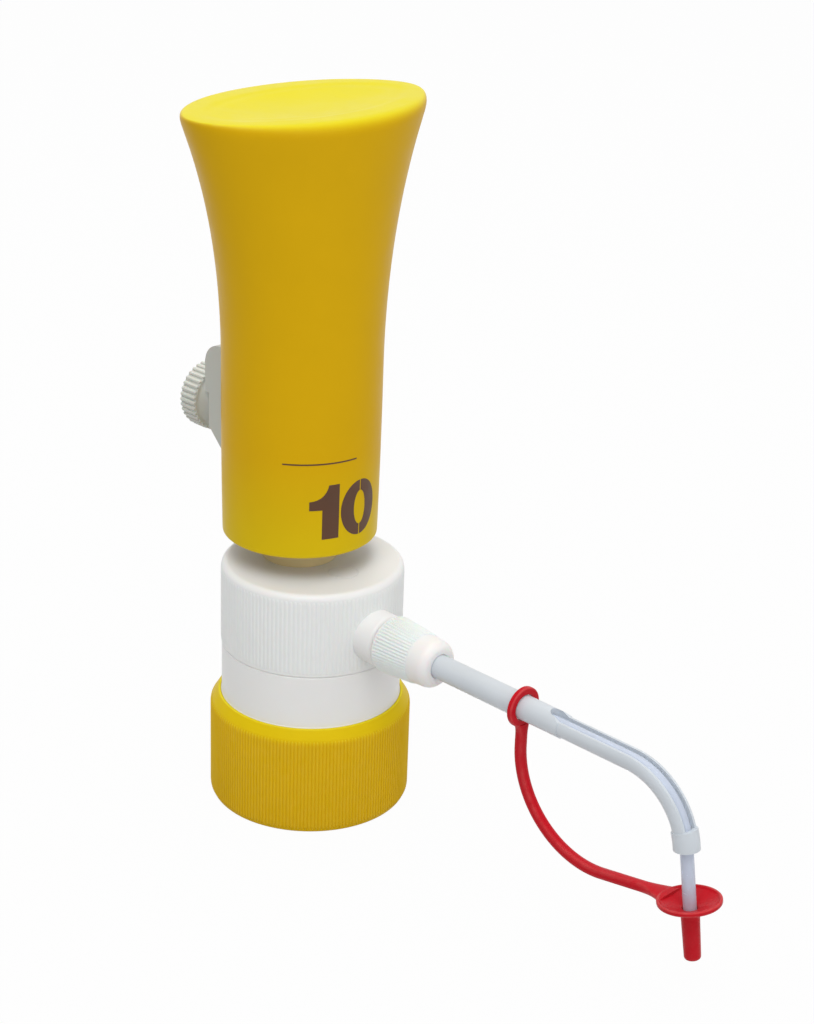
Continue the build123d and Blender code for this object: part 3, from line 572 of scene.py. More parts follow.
def tick_tree():
    """A column of graduation lines along Y, every fifth one longer."""
    tree, given = geometry_tree("Graduations", Int=["Count"], Float=["Step", "Short", "Long", "Line", "Depth"])
    points = tree.out("GeometryNodePoints", {"Count": given["Count"]})
    index = tree.out("GeometryNodeInputIndex")
    whole = tree.maths("LESS_THAN", tree.maths("MODULO", index, 5.0), 0.5)
    extra = tree.times(whole, tree.minus(given["Long"], given["Short"]))
    length = tree.plus(given["Short"], extra)
    place = tree.out("ShaderNodeCombineXYZ", {
        "X": tree.times(length, 0.5), "Y": tree.times(index, given["Step"])})
    placed = tree.out("GeometryNodeSetPosition", {"Geometry": points, "Position": place})
    bar = tree.out("GeometryNodeMeshCube", {
        "Size": (1.0, 1.0, 1.0), "Vertices X": 5, "Vertices Y": 2, "Vertices Z": 2})
    size = tree.out("ShaderNodeCombineXYZ", {
        "X": length, "Y": given["Line"], "Z": given["Depth"]})
    ticks = tree.out("GeometryNodeInstanceOnPoints", {
        "Points": placed, "Instance": bar, "Scale": size})
    return close_tree(tree, ticks)


def evaluated(obj, name):
    """A plain mesh of what an object's modifiers or curve give."""
    bpy.context.view_layer.update()
    mesh = bpy.data.meshes.new_from_object(obj.evaluated_get(bpy.context.evaluated_depsgraph_get()))
    mesh.name = name
    return mesh


def grown(name, tree, inputs, place=None):
    """Runs a geometry tree once and keeps its result as a plain mesh object."""
    holder = new_object(name + "_holder", bpy.data.meshes.new(name + "_holder"))
    modifier = holder.modifiers.new(name, "NODES")
    modifier.node_group = tree
    sockets = {s.name: s.identifier for s in tree.interface.items_tree if s.in_out == "INPUT"}
    for label, value in inputs.items():
        modifier[sockets[label]] = value
    mesh = evaluated(holder, name)
    bpy.data.objects.remove(holder)
    if len(mesh.polygons) == 0:
        raise RuntimeError(name + " came out empty")
    if place is not None:
        mesh.transform(place)
    tidy_mesh(mesh)
    return new_object(name, mesh)


def rib_ring(name, given, radii, span, rib, end_share, place=None, flatness=1.0):
    """Grip ribs on a piece: the radii of their crests and their levels, each at the low and the high end."""
    low_radius, high_radius = (radius - rib * flatness for radius in radii)
    return grown(name, rib_ring_tree(), {
        "Count": given.rib_count, "Low Radius": low_radius, "High Radius": high_radius, "Low": span[0],
        "High": span[1], "Rib Radius": rib, "Flatness": flatness, "End Share": end_share}, place)


# ---------------------------------------------------------------- finishes


class Finish(Tree):
    """One material with its Principled shader."""

    def __init__(self, name, **plain):
        material = bpy.data.materials.new(name)
        material.use_nodes = True
        super().__init__(material.node_tree)
        self.material = material
        self.shader = material.node_tree.nodes["Principled BSDF"]
        for label, value in plain.items():
            self.shader.inputs[label.replace("_", " ")].default_value = value

    def surface(self, maker, grain, **inputs):
        """Takes colour, roughness and a bump of a given depth from a shared effect."""
        made = self.tree.nodes.new("ShaderNodeGroup")
        made.node_tree = effect(maker)
        for label, value in inputs.items():
            self.feed(made.inputs[label.replace("_", " ")], value)
        out = made.outputs
        bump = self.out("ShaderNodeBump", {"Strength": 1.0, "Distance": grain, "Height": out["Height"]})
        for label, socket in (("Base Color", out["Colour"]), ("Roughness", out["Roughness"]), ("Normal", bump)):
            self.feed(self.shader.inputs[label], socket)
        return self.material


def effect_tree(name, **inputs):
    """A shader node group with named inputs that puts out a colour, a roughness and a height."""
    return node_tree(name, "ShaderNodeTree", inputs, {"Color": ["Colour"], "Float": ["Roughness", "Height"]})


def noise(tree, vector, size, detail=2.0, roughness=0.5):
    """A noise value for spots of about a given size in metres."""
    return tree.out("ShaderNodeTexNoise", {
        "Vector": vector, "Scale": 1.0 / size, "Detail": detail, "Roughness": roughness})


def ranged(tree, value, low, high, to_low, to_high):
    """A value moved from one range to another, clamped."""
    return tree.out("ShaderNodeMapRange", {
        "Value": value, "From Min": low, "From Max": high, "To Min": to_low, "To Max": to_high})


def mixed(tree, factor, first, second, blend="MIX"):
    """Two colours mixed."""
    inputs = {0: factor, 6: first, 7: second}
    return tree.node("ShaderNodeMix", inputs, data_type="RGBA", blend_type=blend).outputs[2]


def grey(tree, value):
    """A value as a grey colour."""
    return tree.out("ShaderNodeCombineColor", {0: value, 1: value, 2: value})


def moulded_effect():
    """Moulded plastic: faint flow mottle, fine grain, smudges, polished edges and painted top light that makes
    upper faces lighter.
    """
    tree, given = effect_tree("Moulded Surface", Color=["Colour", "Faded"], Float=[
        "Fade", "Mottle", "Base Roughness", "Smudge", "Wear"])
    place = tree.node("ShaderNodeTexCoord").outputs["Object"]
    flow = noise(tree, place, 14 * MM, 3.0, 0.55)
    flow = tree.times(tree.minus(flow, 0.5), given["Mottle"])
    # painted light: upward faces, and the sleeve's foot, are mixed towards a lighter colour
    upward = tree.node("ShaderNodeAttribute", attribute_name="painted_light_share").outputs["Fac"]
    faded = mixed(tree, tree.times(upward, given["Fade"]), given["Colour"], given["Faded"])
    toned = mixed(tree, 1.0, faded, grey(tree, tree.plus(flow, 1.0)), "MULTIPLY")
    edge = tree.node("ShaderNodeAttribute", attribute_name="edge_wear").outputs["Fac"]
    patchy = ranged(tree, noise(tree, place, 2.2 * MM, 2.0), 0.3, 0.65, 0.35, 1.0)
    worn = tree.times(tree.times(edge, patchy), given["Wear"])
    lighter = mixed(tree, 1.0, toned, (0.10, 0.10, 0.09, 1.0), "ADD")
    colour = mixed(tree, worn, toned, lighter)
    smudge = ranged(tree, noise(tree, place, 7 * MM, 4.0, 0.62), 0.36, 0.66, -1.0, 1.0)
    rough = tree.maths("MULTIPLY_ADD", smudge, given["Smudge"], given["Base Roughness"])
    rough = tree.maths("MULTIPLY_ADD", worn, -0.12, rough)
    grain = tree.times(noise(tree, place, 0.22 * MM, 2.0), 0.5)
    ripple = noise(tree, place, 3.0 * MM, 1.0)
    tree.node("NodeGroupOutput", {
        "Colour": colour, "Roughness": tree.maths("MAXIMUM", rough, 0.05),
        "Height": tree.plus(grain, ripple)})
    return tree.tree


def drawn_effect():
    """Extruded clear plastic: cloudy patches and lengthwise draw marks."""
    tree, given = effect_tree("Drawn Plastic", Color=["Colour"], Float=["Cloud", "Base Roughness"])
    place = tree.node("ShaderNodeTexCoord").outputs["Object"]
    cloud = noise(tree, place, 9 * MM, 3.0)
    shade = tree.maths("MULTIPLY_ADD", tree.minus(cloud, 0.5), given["Cloud"], 1.0)
    colour = mixed(tree, 1.0, given["Colour"], grey(tree, shade), "MULTIPLY")
    long_way = tree.out("ShaderNodeMapping", {"Vector": place, "Scale": (0.06, 1.0, 1.0)})
    marks = noise(tree, long_way, 0.5 * MM, 2.0)
    rough = tree.maths("MULTIPLY_ADD", marks, 0.10, given["Base Roughness"])
    tree.node("NodeGroupOutput", {"Colour": colour, "Roughness": rough, "Height": marks})
    return tree.tree


def turned_effect():
    """Turned metal: fine rings round the X axis and faint stains."""
    tree, given = effect_tree("Turned Metal", Color=["Colour"], Float=["Base Roughness"])
    place = tree.node("ShaderNodeTexCoord").outputs["Object"]
    squeezed = tree.out("ShaderNodeMapping", {"Vector": place, "Scale": (1.0, 0.04, 0.04)})
    rings = noise(tree, squeezed, 0.12 * MM, 2.0)
    stain = ranged(tree, noise(tree, place, 4 * MM, 3.0), 0.3, 0.7, 0.88, 1.04)
    tree.node("NodeGroupOutput", {
        "Colour": mixed(tree, 1.0, given["Colour"], grey(tree, stain), "MULTIPLY"),
        "Roughness": tree.maths("MULTIPLY_ADD", rings, 0.22, given["Base Roughness"]), "Height": rings})
    return tree.tree


EFFECTS = {}


def effect(maker):
    """A shared effect, built once."""
    if maker not in EFFECTS:
        EFFECTS[maker] = maker()
    return EFFECTS[maker]


def with_alpha(colour):
    """A colour as a socket takes it."""
    return (*tuple(colour)[:3], 1.0)


def moulded(name, colour, roughness, grain, mottle=0.10, smudge=0.04, wear=0.5, faded=None, **plain):
    """Moulded plastic in one colour."""
    # a second, lighter colour, if given, is painted top light on upward faces
    return Finish(name, **{"IOR": 1.49, **plain}).surface(
        moulded_effect, grain, Colour=with_alpha(colour), Mottle=mottle, Faded=with_alpha(faded or colour),
        Fade=1.0 if faded else 0.0, Base_Roughness=roughness, Smudge=smudge, Wear=wear)


def clear_plastic(name, colour, roughness, transmission, cloud=0.08):
    """Cloudy clear plastic, as drawn tube."""
    return Finish(name, IOR=1.36, Transmission_Weight=transmission).surface(
        drawn_effect, 0.004 * MM, Colour=with_alpha(colour), Cloud=cloud, Base_Roughness=roughness)


def turned_steel(name, colour):
    """Bright turned steel."""
    return Finish(name, Metallic=1.0).surface(
        turned_effect, 0.01 * MM, Colour=with_alpha(colour), Base_Roughness=0.2)


FINISHES = {}


def finish(name, maker, *values, **options):
    """A material, built once and shared by the pieces that use it."""
    if name not in FINISHES:
        FINISHES[name] = maker(name, *values, **options)
    return FINISHES[name]


PLASTICS = {
    "collar": ("Collar Yellow", dict(
        roughness=0.42, grain=0.03 * MM, mottle=0.08, wear=0.15, Specular_IOR_Level=0.06)),
    "sleeve": ("Sleeve Yellow", dict(
        roughness=0.36, grain=0.016 * MM, mottle=0.07, wear=0.3, Specular_IOR_Level=0.06)),
    "block": ("Block White", dict(
        roughness=0.42, grain=0.02 * MM, mottle=0.05, wear=0.25,
        Subsurface_Weight=0.08, Subsurface_Scale=1.2 * MM)),
    "nut": ("Nut White", dict(
        roughness=0.40, grain=0.02 * MM, mottle=0.06, wear=0.3,
        Subsurface_Weight=0.3, Subsurface_Scale=2.0 * MM)),
    "slider": ("Slider Grey", dict(
        roughness=0.40, grain=0.03 * MM, mottle=0.07, wear=0.5,
        Subsurface_Weight=0.1, Subsurface_Scale=1.0 * MM)),
    "closure": ("Closure Red", dict(
        roughness=0.3, grain=0.03 * MM, mottle=0.2, wear=0.5, Specular_IOR_Level=0.08)),
}


def plastic_of(group):
    """The plastic of one group of pieces, in the group's own colours."""
    given = settings(group)
    name, look = PLASTICS[group]
    return finish(name, moulded, given.colour, faded=getattr(given, "faded", None), **look)


# ---------------------------------------------------------------- pieces


class Piece:
    """What the operators share."""

    bl_options = {"REGISTER"}

    def execute(self, context):
        self.make()
        return {"FINISHED"}


class MakeCollar(Piece, bpy.types.Operator):
    """Build the ribbed screw collar with its bottle thread"""

    bl_idname = "dispenser.collar"
    bl_label = "Screw Collar"

    def make(self):
        given = settings("collar")
        groove = given.radius - given.rib_height
        rib_top = given.height - given.shoulder
        lip = given.height - given.lip
        plastic = plastic_of("collar")
        outline = softened([
            (given.bore_radius, 0, 0.5 * MM), (groove - 0.35 * MM, 0, 0.9 * MM), (groove, 1.6 * MM, 0.8 * MM),
            (groove, rib_top, 0.8 * MM), (given.neck_radius + 0.65 * MM, given.height, 0.7 * MM),
            (given.neck_radius, given.height, 0.25 * MM), (given.neck_radius, lip, 0.2 * MM),
            (groove - given.wall, lip, 0.3 * MM), (groove - given.wall, given.bore_depth, 0),
            (given.bore_radius, given.bore_depth, 0)], 6)
        body = turned("collar_body", outline, steps=256)
        dress(body, plastic, "collar", "collar_yellow", "screw_collar")
        ribs = rib_ring("collar_ribs", given, (given.radius, given.radius), (0.9 * MM, rib_top + 0.2 * MM),
                        0.45 * MM, 0.045)
        dress(ribs, plastic, "collar", "collar_yellow")
        thread = grown("bottle_thread", thread_tree(), {
            "Radius": given.bore_radius + 0.1 * MM, "Turns": THREAD_TURNS,
            "Rise": THREAD_TURNS * given.thread_pitch, "Ridge": given.thread_ridge},
            Matrix.Translation((0, 0, given.thread_foot)))
        dress(thread, plastic, "collar", "collar_yellow")


class MakeBlock(Piece, bpy.types.Operator):
    """Add the fine ribs of the valve block and finish its solids"""

    bl_idname = "dispenser.block"
    bl_label = "Valve Block"

    def make(self):
        given = settings("block")
        plastic = plastic_of("block")
        finish_nodes(plastic, "block_base", "block_shell", "valve_plug", "guide_ring")
        crest = given.radius + given.rib_height
        ribs = rib_ring("block_ribs", given, (crest, crest), (given.rib_low, given.rib_high), 0.5 * MM, 0.04,
                        flatness=0.3)
        dress(ribs, plastic, "block", "block_white")


class MakeNut(Piece, bpy.types.Operator):
    """Build the domed union nut with its grip ribs"""

    bl_idname = "dispenser.nut"
    bl_label = "Union Nut"

    def make(self):
        given = settings("nut")
        place = along_spout(0, given.axis_height)
        slope = (given.radius - given.tip_radius) / (given.end - given.start)
        groove = given.radius - given.rib_height
        grip_end = given.start + given.grip
        step = groove - slope * given.grip
        plastic = plastic_of("nut")
        outline = softened([
            (given.thread_bore, given.start, 0.3 * MM), (groove, given.start, 0.7 * MM),
            (step, grip_end, 0.4 * MM), (step - 0.08 * MM, grip_end + 0.3 * MM, 0.3 * MM),
            (given.tip_radius - 0.1 * MM, given.end - 1.5 * MM, 2.6 * MM), (4.9 * MM, given.end, 1.5 * MM),
            (given.sheath_bore, given.end, 0.25 * MM), (given.sheath_bore, given.shoulder, 0),
            (given.thread_bore, given.shoulder, 0)], 7)
        body = turned("nut_body", outline, place, steps=128)
        dress(body, plastic, "nut", "block_white", "union_nut")
        crests = (given.radius, given.radius - slope * given.grip)
        ribs = rib_ring("nut_ribs", given, crests, (given.start + 0.5 * MM, grip_end), 0.44 * MM, 0.05, place)
        dress(ribs, plastic, "nut", "block_white")


def flare_length(level):
    """How far the sleeve has widened across the spout at a level."""
    given = settings("sleeve")
    rise = max(level - given.flare_start, 0.0)
    return given.flare_radius - math.sqrt(given.flare_radius**2 - rise**2)


def rise_share(level):
    """How far up the flare a level lies, from 0 to 1."""
    given = settings("sleeve")
    return max(level - given.flare_start, 0.0) / (given.top - given.flare_start)


def sleeve_halves(level):
    """Half length and half width of the sleeve's oval at a level."""
    given = settings("sleeve")
    drop = max(given.flare_start - level, 0.0) / (given.flare_start - given.foot)
    shaft = given.radius - given.taper * drop**2
    return shaft + flare_length(level), shaft + given.widening * rise_share(level) ** 3


def oval_row(half_length, half_width, level, pointed=0.0, steps=192):
    """A row of points round an oval, its ends drawn to a soft point."""
    axis = settings("sleeve").axis
    row = []
    for step in range(steps):
        turn = FULL_TURN * step / steps
        narrow = 1 - pointed * math.sin(turn) ** 4
        row.append((axis + half_width * narrow * math.cos(turn), half_length * math.sin(turn), level))
    return row


def spaced(low, high, count):
    """Even values from low to high, both included."""
    return [low + (high - low) * step / count for step in range(count + 1)]


def rim_profile():
    """Inset and level of the rim's section, from its outer side to the edge of the dish."""
    given = settings("sleeve")
    return softened([
        (0, given.top - 2 * given.rim_round, 0), (0, given.top, given.rim_round),
        (given.band - 0.9 * MM, given.top, 0.8 * MM), (given.band + 0.6 * MM, given.top - given.step, 0.8 * MM),
        (given.band + 2.0 * MM, given.top - given.step - 0.1 * MM, 0)], 8)


def end_inset(inset):
    """Inset of the rim's section at the oval's ends, where its outer edge is crisper."""
    given = settings("sleeve")
    past = (inset - given.rim_round) / (given.band + 2.0 * MM - given.rim_round)
    return inset * (given.crisp + (1 - given.crisp) * min(max(past, 0.0), 1.0))


def sleeve_outside():
    """Rows of the outer face, from the foot over the rim to the middle of the dish."""
    given = settings("sleeve")
    rows = []
    foot_round = 0.7 * MM
    for share in spaced(0, 1, 4):
        turn = share * QUARTER_TURN
        length, width = sleeve_halves(given.foot)
        inset = foot_round * (1 - math.sin(turn))
        rows.append((length - inset, width - inset, given.foot + foot_round * (1 - math.cos(turn)), 0.0))
    profile = rim_profile()
    for level in spaced(given.foot + 1.4 * MM, profile[0][1], 46)[:-1]:
        rows.append((*sleeve_halves(level), level, POINTED * rise_share(level)))
    for inset, level in profile:
        length, width = sleeve_halves(level)
        rows.append((length - end_inset(inset), width - inset, level, POINTED * rise_share(level)))
    edge_length, edge_width, edge_level, _ = rows[-1]
    for share in spaced(0.94, 0, 12):
        drop = (given.top - given.dish - edge_level) * (1 - share**2)
        rows.append((edge_length * share, edge_width * share, edge_level + drop, POINTED))
    return rows


def sleeve_inside():
    """Rows of the inner face, from the middle of the skin's underside down to the foot."""
    given = settings("sleeve")
    length, width = sleeve_halves(given.top)
    lid_length, lid_width = length - given.rim_width, width - given.rim_side
    rows = []
    for share in spaced(0, 0.96, 8):
        drop = DISH_FLOOR + (given.dish - DISH_FLOOR / 2) * (1 - share**2)
        rows.append((lid_length * share, lid_width * share, given.top - drop, 0.0))
    rows.append((lid_length, lid_width, given.top - DISH_FLOOR, 0.0))
    rows.append((lid_length, lid_width, given.lid_seat, 0.0))
    shelf = given.bore - given.shelf
    for level in spaced(given.lid_seat, given.bore_end, 16):
        rows.append((shelf + flare_length(level) - flare_length(given.bore_end), shelf, level, 0.0))
    for level in spaced(given.bore_end, given.foot + 0.4 * MM, 20):
        rows.append((given.bore, given.bore, level, 0.0))
    rows.append((given.bore + 0.3 * MM, given.bore + 0.3 * MM, given.foot, 0.0))
    return rows


def slot_cutter():
    """The upright slot's room through the back wall."""
    given = settings("sleeve")
    radius = given.slot_width / 2
    outline = []
    for centre, start in ((given.slot_high - radius, 0.0), (given.slot_low + radius, HALF_TURN)):
        for turn in spaced(start, start + HALF_TURN, SLOT_ARC_STEPS):
            outline.append((radius * math.cos(turn), centre + radius * math.sin(turn)))
    return swept("slot_room", [[(x, y, z) for y, z in outline] for x in SLOT_ROOM])


class MakeSleeve(Piece, bpy.types.Operator):
    """Build the flared sleeve with its soft rim, dished top and volume slot"""

    bl_idname = "dispenser.sleeve"
    bl_label = "Sleeve"

    def make(self):
        rows = [oval_row(*row) for row in sleeve_inside() + sleeve_outside()]
        count = len(rows[0])
        points = [p for row in rows for p in row]
        faces = []
        for index in range(len(rows) - 1):
            faces += ring_faces(index * count, (index + 1) * count, count)
        shell = mesh_object("sleeve_shell", points, faces, SLEEVE_ANGLE)
        room = slot_cutter()
        cut = shell.modifiers.new("slot", "BOOLEAN")
        cut.operation = "DIFFERENCE"
        cut.object = room
        cut.solver = "EXACT"
        cut_mesh = evaluated(shell, "sleeve_shell")
        shell.modifiers.clear()
        shell.data = cut_mesh
        bpy.data.objects.remove(room)
        tidy_mesh(cut_mesh, SLEEVE_ANGLE)
        dress(shell, plastic_of("sleeve"), "sleeve", "sleeve_yellow", "sleeve")
        fade_foot(shell)
        finish_nodes(plastic_of("sleeve"), "top_lid")


def fade_foot(shell):
    """Paints bounce light on the sleeve towards its foot, where the white block throws light back at it, by
    moving the foot towards the lighter painted colour.
    """
    given = settings("sleeve")
    faded = shell.data.attributes["painted_light_share"].data
    for vertex, mark in zip(shell.data.vertices, faded):
        share = 1 - (vertex.co.z - given.foot) / given.foot_fade
        # painted bounce light: the share rises towards the foot
        mark.value = max(mark.value, given.foot_share * min(max(share, 0.0), 1.0))


def on_sleeve(across, level, proud):
    """A point on the round shaft: an arc length from straight ahead, a level and how far it stands out."""
    given = settings("sleeve")
    length, width = sleeve_halves(level)
    turn = across / given.radius
    return Vector((given.axis + (width + proud) * math.cos(turn), (length + proud) * math.sin(turn), level))


def wrap_on_sleeve(obj, across, level):
    """Bends a flat print round the shaft, after its long edges are split."""
    body = bmesh.new()
    body.from_mesh(obj.data)
    bmesh.ops.triangulate(body, faces=body.faces)
    for _ in range(5):
        long_edges = [e for e in body.edges if e.calc_length() > INK_EDGE]
        if not long_edges:
            break
        bmesh.ops.subdivide_edges(body, edges=long_edges, cuts=1)
        bmesh.ops.triangulate(body, faces=body.faces)
    for vertex in body.verts:
        x, y, z = vertex.co
        vertex.co = on_sleeve(across + x, level + y, z)
    body.to_mesh(obj.data)
    body.free()
    tidy_mesh(obj.data, PRINT_ANGLE)


def flat_print(name, curve):
    """A curve turned into flat print with a little body."""
    curve.extrude = INK_BODY
    holder = new_object(name + "_outline", curve)
    mesh = evaluated(holder, name)
    bpy.data.objects.remove(holder)
    return new_object(name, mesh)


def lettering(name, words, size, weight):
    """Print in a plain typeface."""
    curve = bpy.data.curves.new(name, "FONT")
    curve.body = words
    curve.size = size
    curve.offset = weight
    curve.align_x = curve.align_y = "CENTER"
    return flat_print(name, curve)


def outlined(name, *outlines):
    """Print inside closed outlines."""
    curve = bpy.data.curves.new(name, "CURVE")
    curve.dimensions = "2D"
    curve.fill_mode = "BOTH"
    for outline in outlines:
        spline = curve.splines.new("POLY")
        spline.points.add(len(outline) - 1)
        spline.use_cyclic_u = True
        for point, (x, y) in zip(spline.points, outline):
            point.co = (x, y, 0, 1)
    return flat_print(name, curve)


def figure_one(tall, stem, flag):
    """Outline of a heavy figure one, its foot's right corner at the origin."""
    top, low = (ONE_SHOULDER - stem, tall), tall - ONE_FLAG_LOW
    tip = (-stem - flag, low + ONE_FLAG_TIP)
    bend = (top[0] - ONE_FLAG_BEND[0], tip[1] + ONE_FLAG_BEND[1])
    sweep = [tuple(top[i] * (1 - t)**2 + 2 * bend[i] * t * (1 - t) + tip[i] * t**2 for i in (0, 1))
             for t in spaced(0, 1, 8)]
    return [(-stem, 0), (0, 0), (0, tall), *sweep, (tip[0], low), (-stem, low)]


def zero_half(side, wide, tall, stroke, cut):
    """Outline of one half of a heavy stencil nought, its foot's middle at the origin."""
    def bow(half_width, half_height, turns):
        return [(side * max(half_width * math.cos(t), cut / 2), tall / 2 + half_height * math.sin(t))
                for t in turns]
    turns = spaced(-QUARTER_TURN, QUARTER_TURN, 32)
    inside = bow(wide / 2 - stroke, tall / 2 - 0.7 * stroke, reversed(turns))
    return bow(wide / 2, tall / 2, turns) + inside


def joined(name, pieces):
    """Several mesh objects as one."""
    body = bmesh.new()
    for piece in pieces:
        body.from_mesh(piece.data)
        bpy.data.objects.remove(piece)
    mesh = bpy.data.meshes.new(name)
    body.to_mesh(mesh)
    body.free()
    return new_object(name, mesh)


def bar(name, length, thickness):
    """A flat printed line, its left end at the origin."""
    body = bmesh.new()
    bmesh.ops.create_cube(body, size=1.0)
    mesh = bpy.data.meshes.new(name)
    body.to_mesh(mesh)
    body.free()
    size = Matrix.Diagonal((length, thickness, 2 * INK_BODY, 1))
    mesh.transform(Matrix.Translation((length / 2, 0, 0)) @ size)
    return new_object(name, mesh)


class MakePrint(Piece, bpy.types.Operator):
    """Print the nominal volume on the front and the graduated scale beside the slot"""

    bl_idname = "dispenser.print"
    bl_label = "Printed Scale"

    def make(self):
        given = settings("print")
        one = outlined("volume_one", figure_one(given.one_height, given.one_stem, given.one_flag))
        halves = (zero_half(side, given.nought_width, given.nought_height, given.nought_stroke,
                            given.nought_cut) for side in (-1, 1))
        nought = outlined("volume_nought", *halves)
        line = bar("volume_line", given.line_length, given.line_width)
        self.wrapped("volume_print", [
            (one, given.one_across, given.one_foot), (nought, given.nought_across, given.nought_foot),
            (line, given.line_across, given.line_level)])
        back = HALF_TURN * settings("sleeve").radius
        marks = []
        for side in (-1, 1):
            ticks = grown("scale_ticks", tick_tree(), {
                "Count": given.marks, "Step": given.mark_step, "Short": given.mark_short,
                "Long": given.mark_long, "Line": given.mark_width, "Depth": 2 * INK_BODY},
                Matrix.Diagonal((side, 1, 1, 1)))
            marks.append((ticks, back + side * given.marks_across, given.marks_foot))
        for volume in range(2, 11):
            digit = lettering("scale_digit", str(volume), given.digit_size, given.digit_weight)
            level = given.set_level - (volume - given.set_volume) * given.stroke
            marks.append((digit, back + given.digit_across, level))
        self.wrapped("volume_scale", marks)

    def wrapped(self, name, prints):
        """Flat prints, each wrapped at its arc and level, as one dressed piece."""
        for flat, across, level in prints:
            wrap_on_sleeve(flat, across, level)
        piece = joined(name, [flat for flat, _, _ in prints])
        tidy_mesh(piece.data, PRINT_ANGLE)
        brown = finish("Scale Ink", moulded, settings("print").ink, 0.5, 0.02 * MM, mottle=0.35,
                       smudge=0.08, wear=0.0, IOR=1.48)
        dress(piece, brown, "sleeve", "sleeve_yellow")


class MakeSlider(Piece, bpy.types.Operator):
    """Build the ribbed clamp knob and finish the volume slider"""

    bl_idname = "dispenser.slider"
    bl_label = "Volume Slider"

    def make(self):
        given = settings("slider")
        plastic = plastic_of("slider")
        finish_nodes(plastic, "stop_slider", "clamp_plate")
        finish_nodes(finish("Steel", turned_steel, (0.55, 0.55, 0.56)), "clamp_screw")
        foot = Matrix.Translation((given.shoulder_end, 0, given.height))
        place = foot @ Matrix.Rotation(-QUARTER_TURN, 4, "Y")
        groove = given.radius - 0.5 * MM
        end = given.shoulder + given.drum
        screw = 2.03 * MM
        outline = softened([
            (screw, 0, 0), (given.neck_radius, 0, 0.4 * MM), (given.shoulder_radius, given.shoulder, 0.5 * MM),
            (groove, given.shoulder + 0.25 * MM, 0.3 * MM), (groove, end, 0.9 * MM),
            (6.9 * MM, end, 0.6 * MM), (6.4 * MM, end - 0.8 * MM, 0.5 * MM), (0, end - 0.8 * MM, 0),
            (0, end - given.drum / 2, 0), (screw, end - given.drum / 2, 0)])
        body = turned("knob_body", outline, place, steps=144)
        dress(body, plastic, "knob", "slider_grey", "clamp_knob")
        ribs = rib_ring("knob_ribs", given, (given.radius, given.radius),
                        (given.shoulder + 0.2 * MM, end - 0.15 * MM), 0.6 * MM, 0.1, place)
        dress(ribs, plastic, "knob", "slider_grey")


class MakeSpout(Piece, bpy.types.Operator):
    """Finish the clear sheath and the tube that it carries"""

    bl_idname = "dispenser.spout"
    bl_label = "Spout"

    def make(self):
        given = settings("spout")
        finish_nodes(finish("Sheath Clear", clear_plastic, given.sheath, 0.26, 0.22), "spout_sheath")
        finish_nodes(finish("Tube Clear", clear_plastic, given.tube, 0.2, 0.3), "discharge_tube")


def tip_place():
    """Place of a piece whose Z runs along the spout's tip from the end of the bend."""
    given = settings("spout")
    turn = QUARTER_TURN - given.tip_lean
    end = Vector((given.bend_start + given.bend_radius * math.sin(turn), 0,
                  given.axis_height - given.bend_radius * (1 - math.cos(turn))))
    return Matrix.Translation(end) @ Matrix.Rotation(HALF_TURN - given.tip_lean, 4, "Y")


def rounded_section(half_width, half_depth, count=20, power=3.2):
    """A soft rectangle, as (across, deep) points."""
    points = []
    for step in range(count):
        turn = FULL_TURN * (step + 0.5) / count
        along, deep = math.cos(turn), math.sin(turn)
        size = (abs(along) ** power + abs(deep) ** power) ** (-1 / power)
        points.append((half_width * size * along, half_depth * size * deep))
    return points


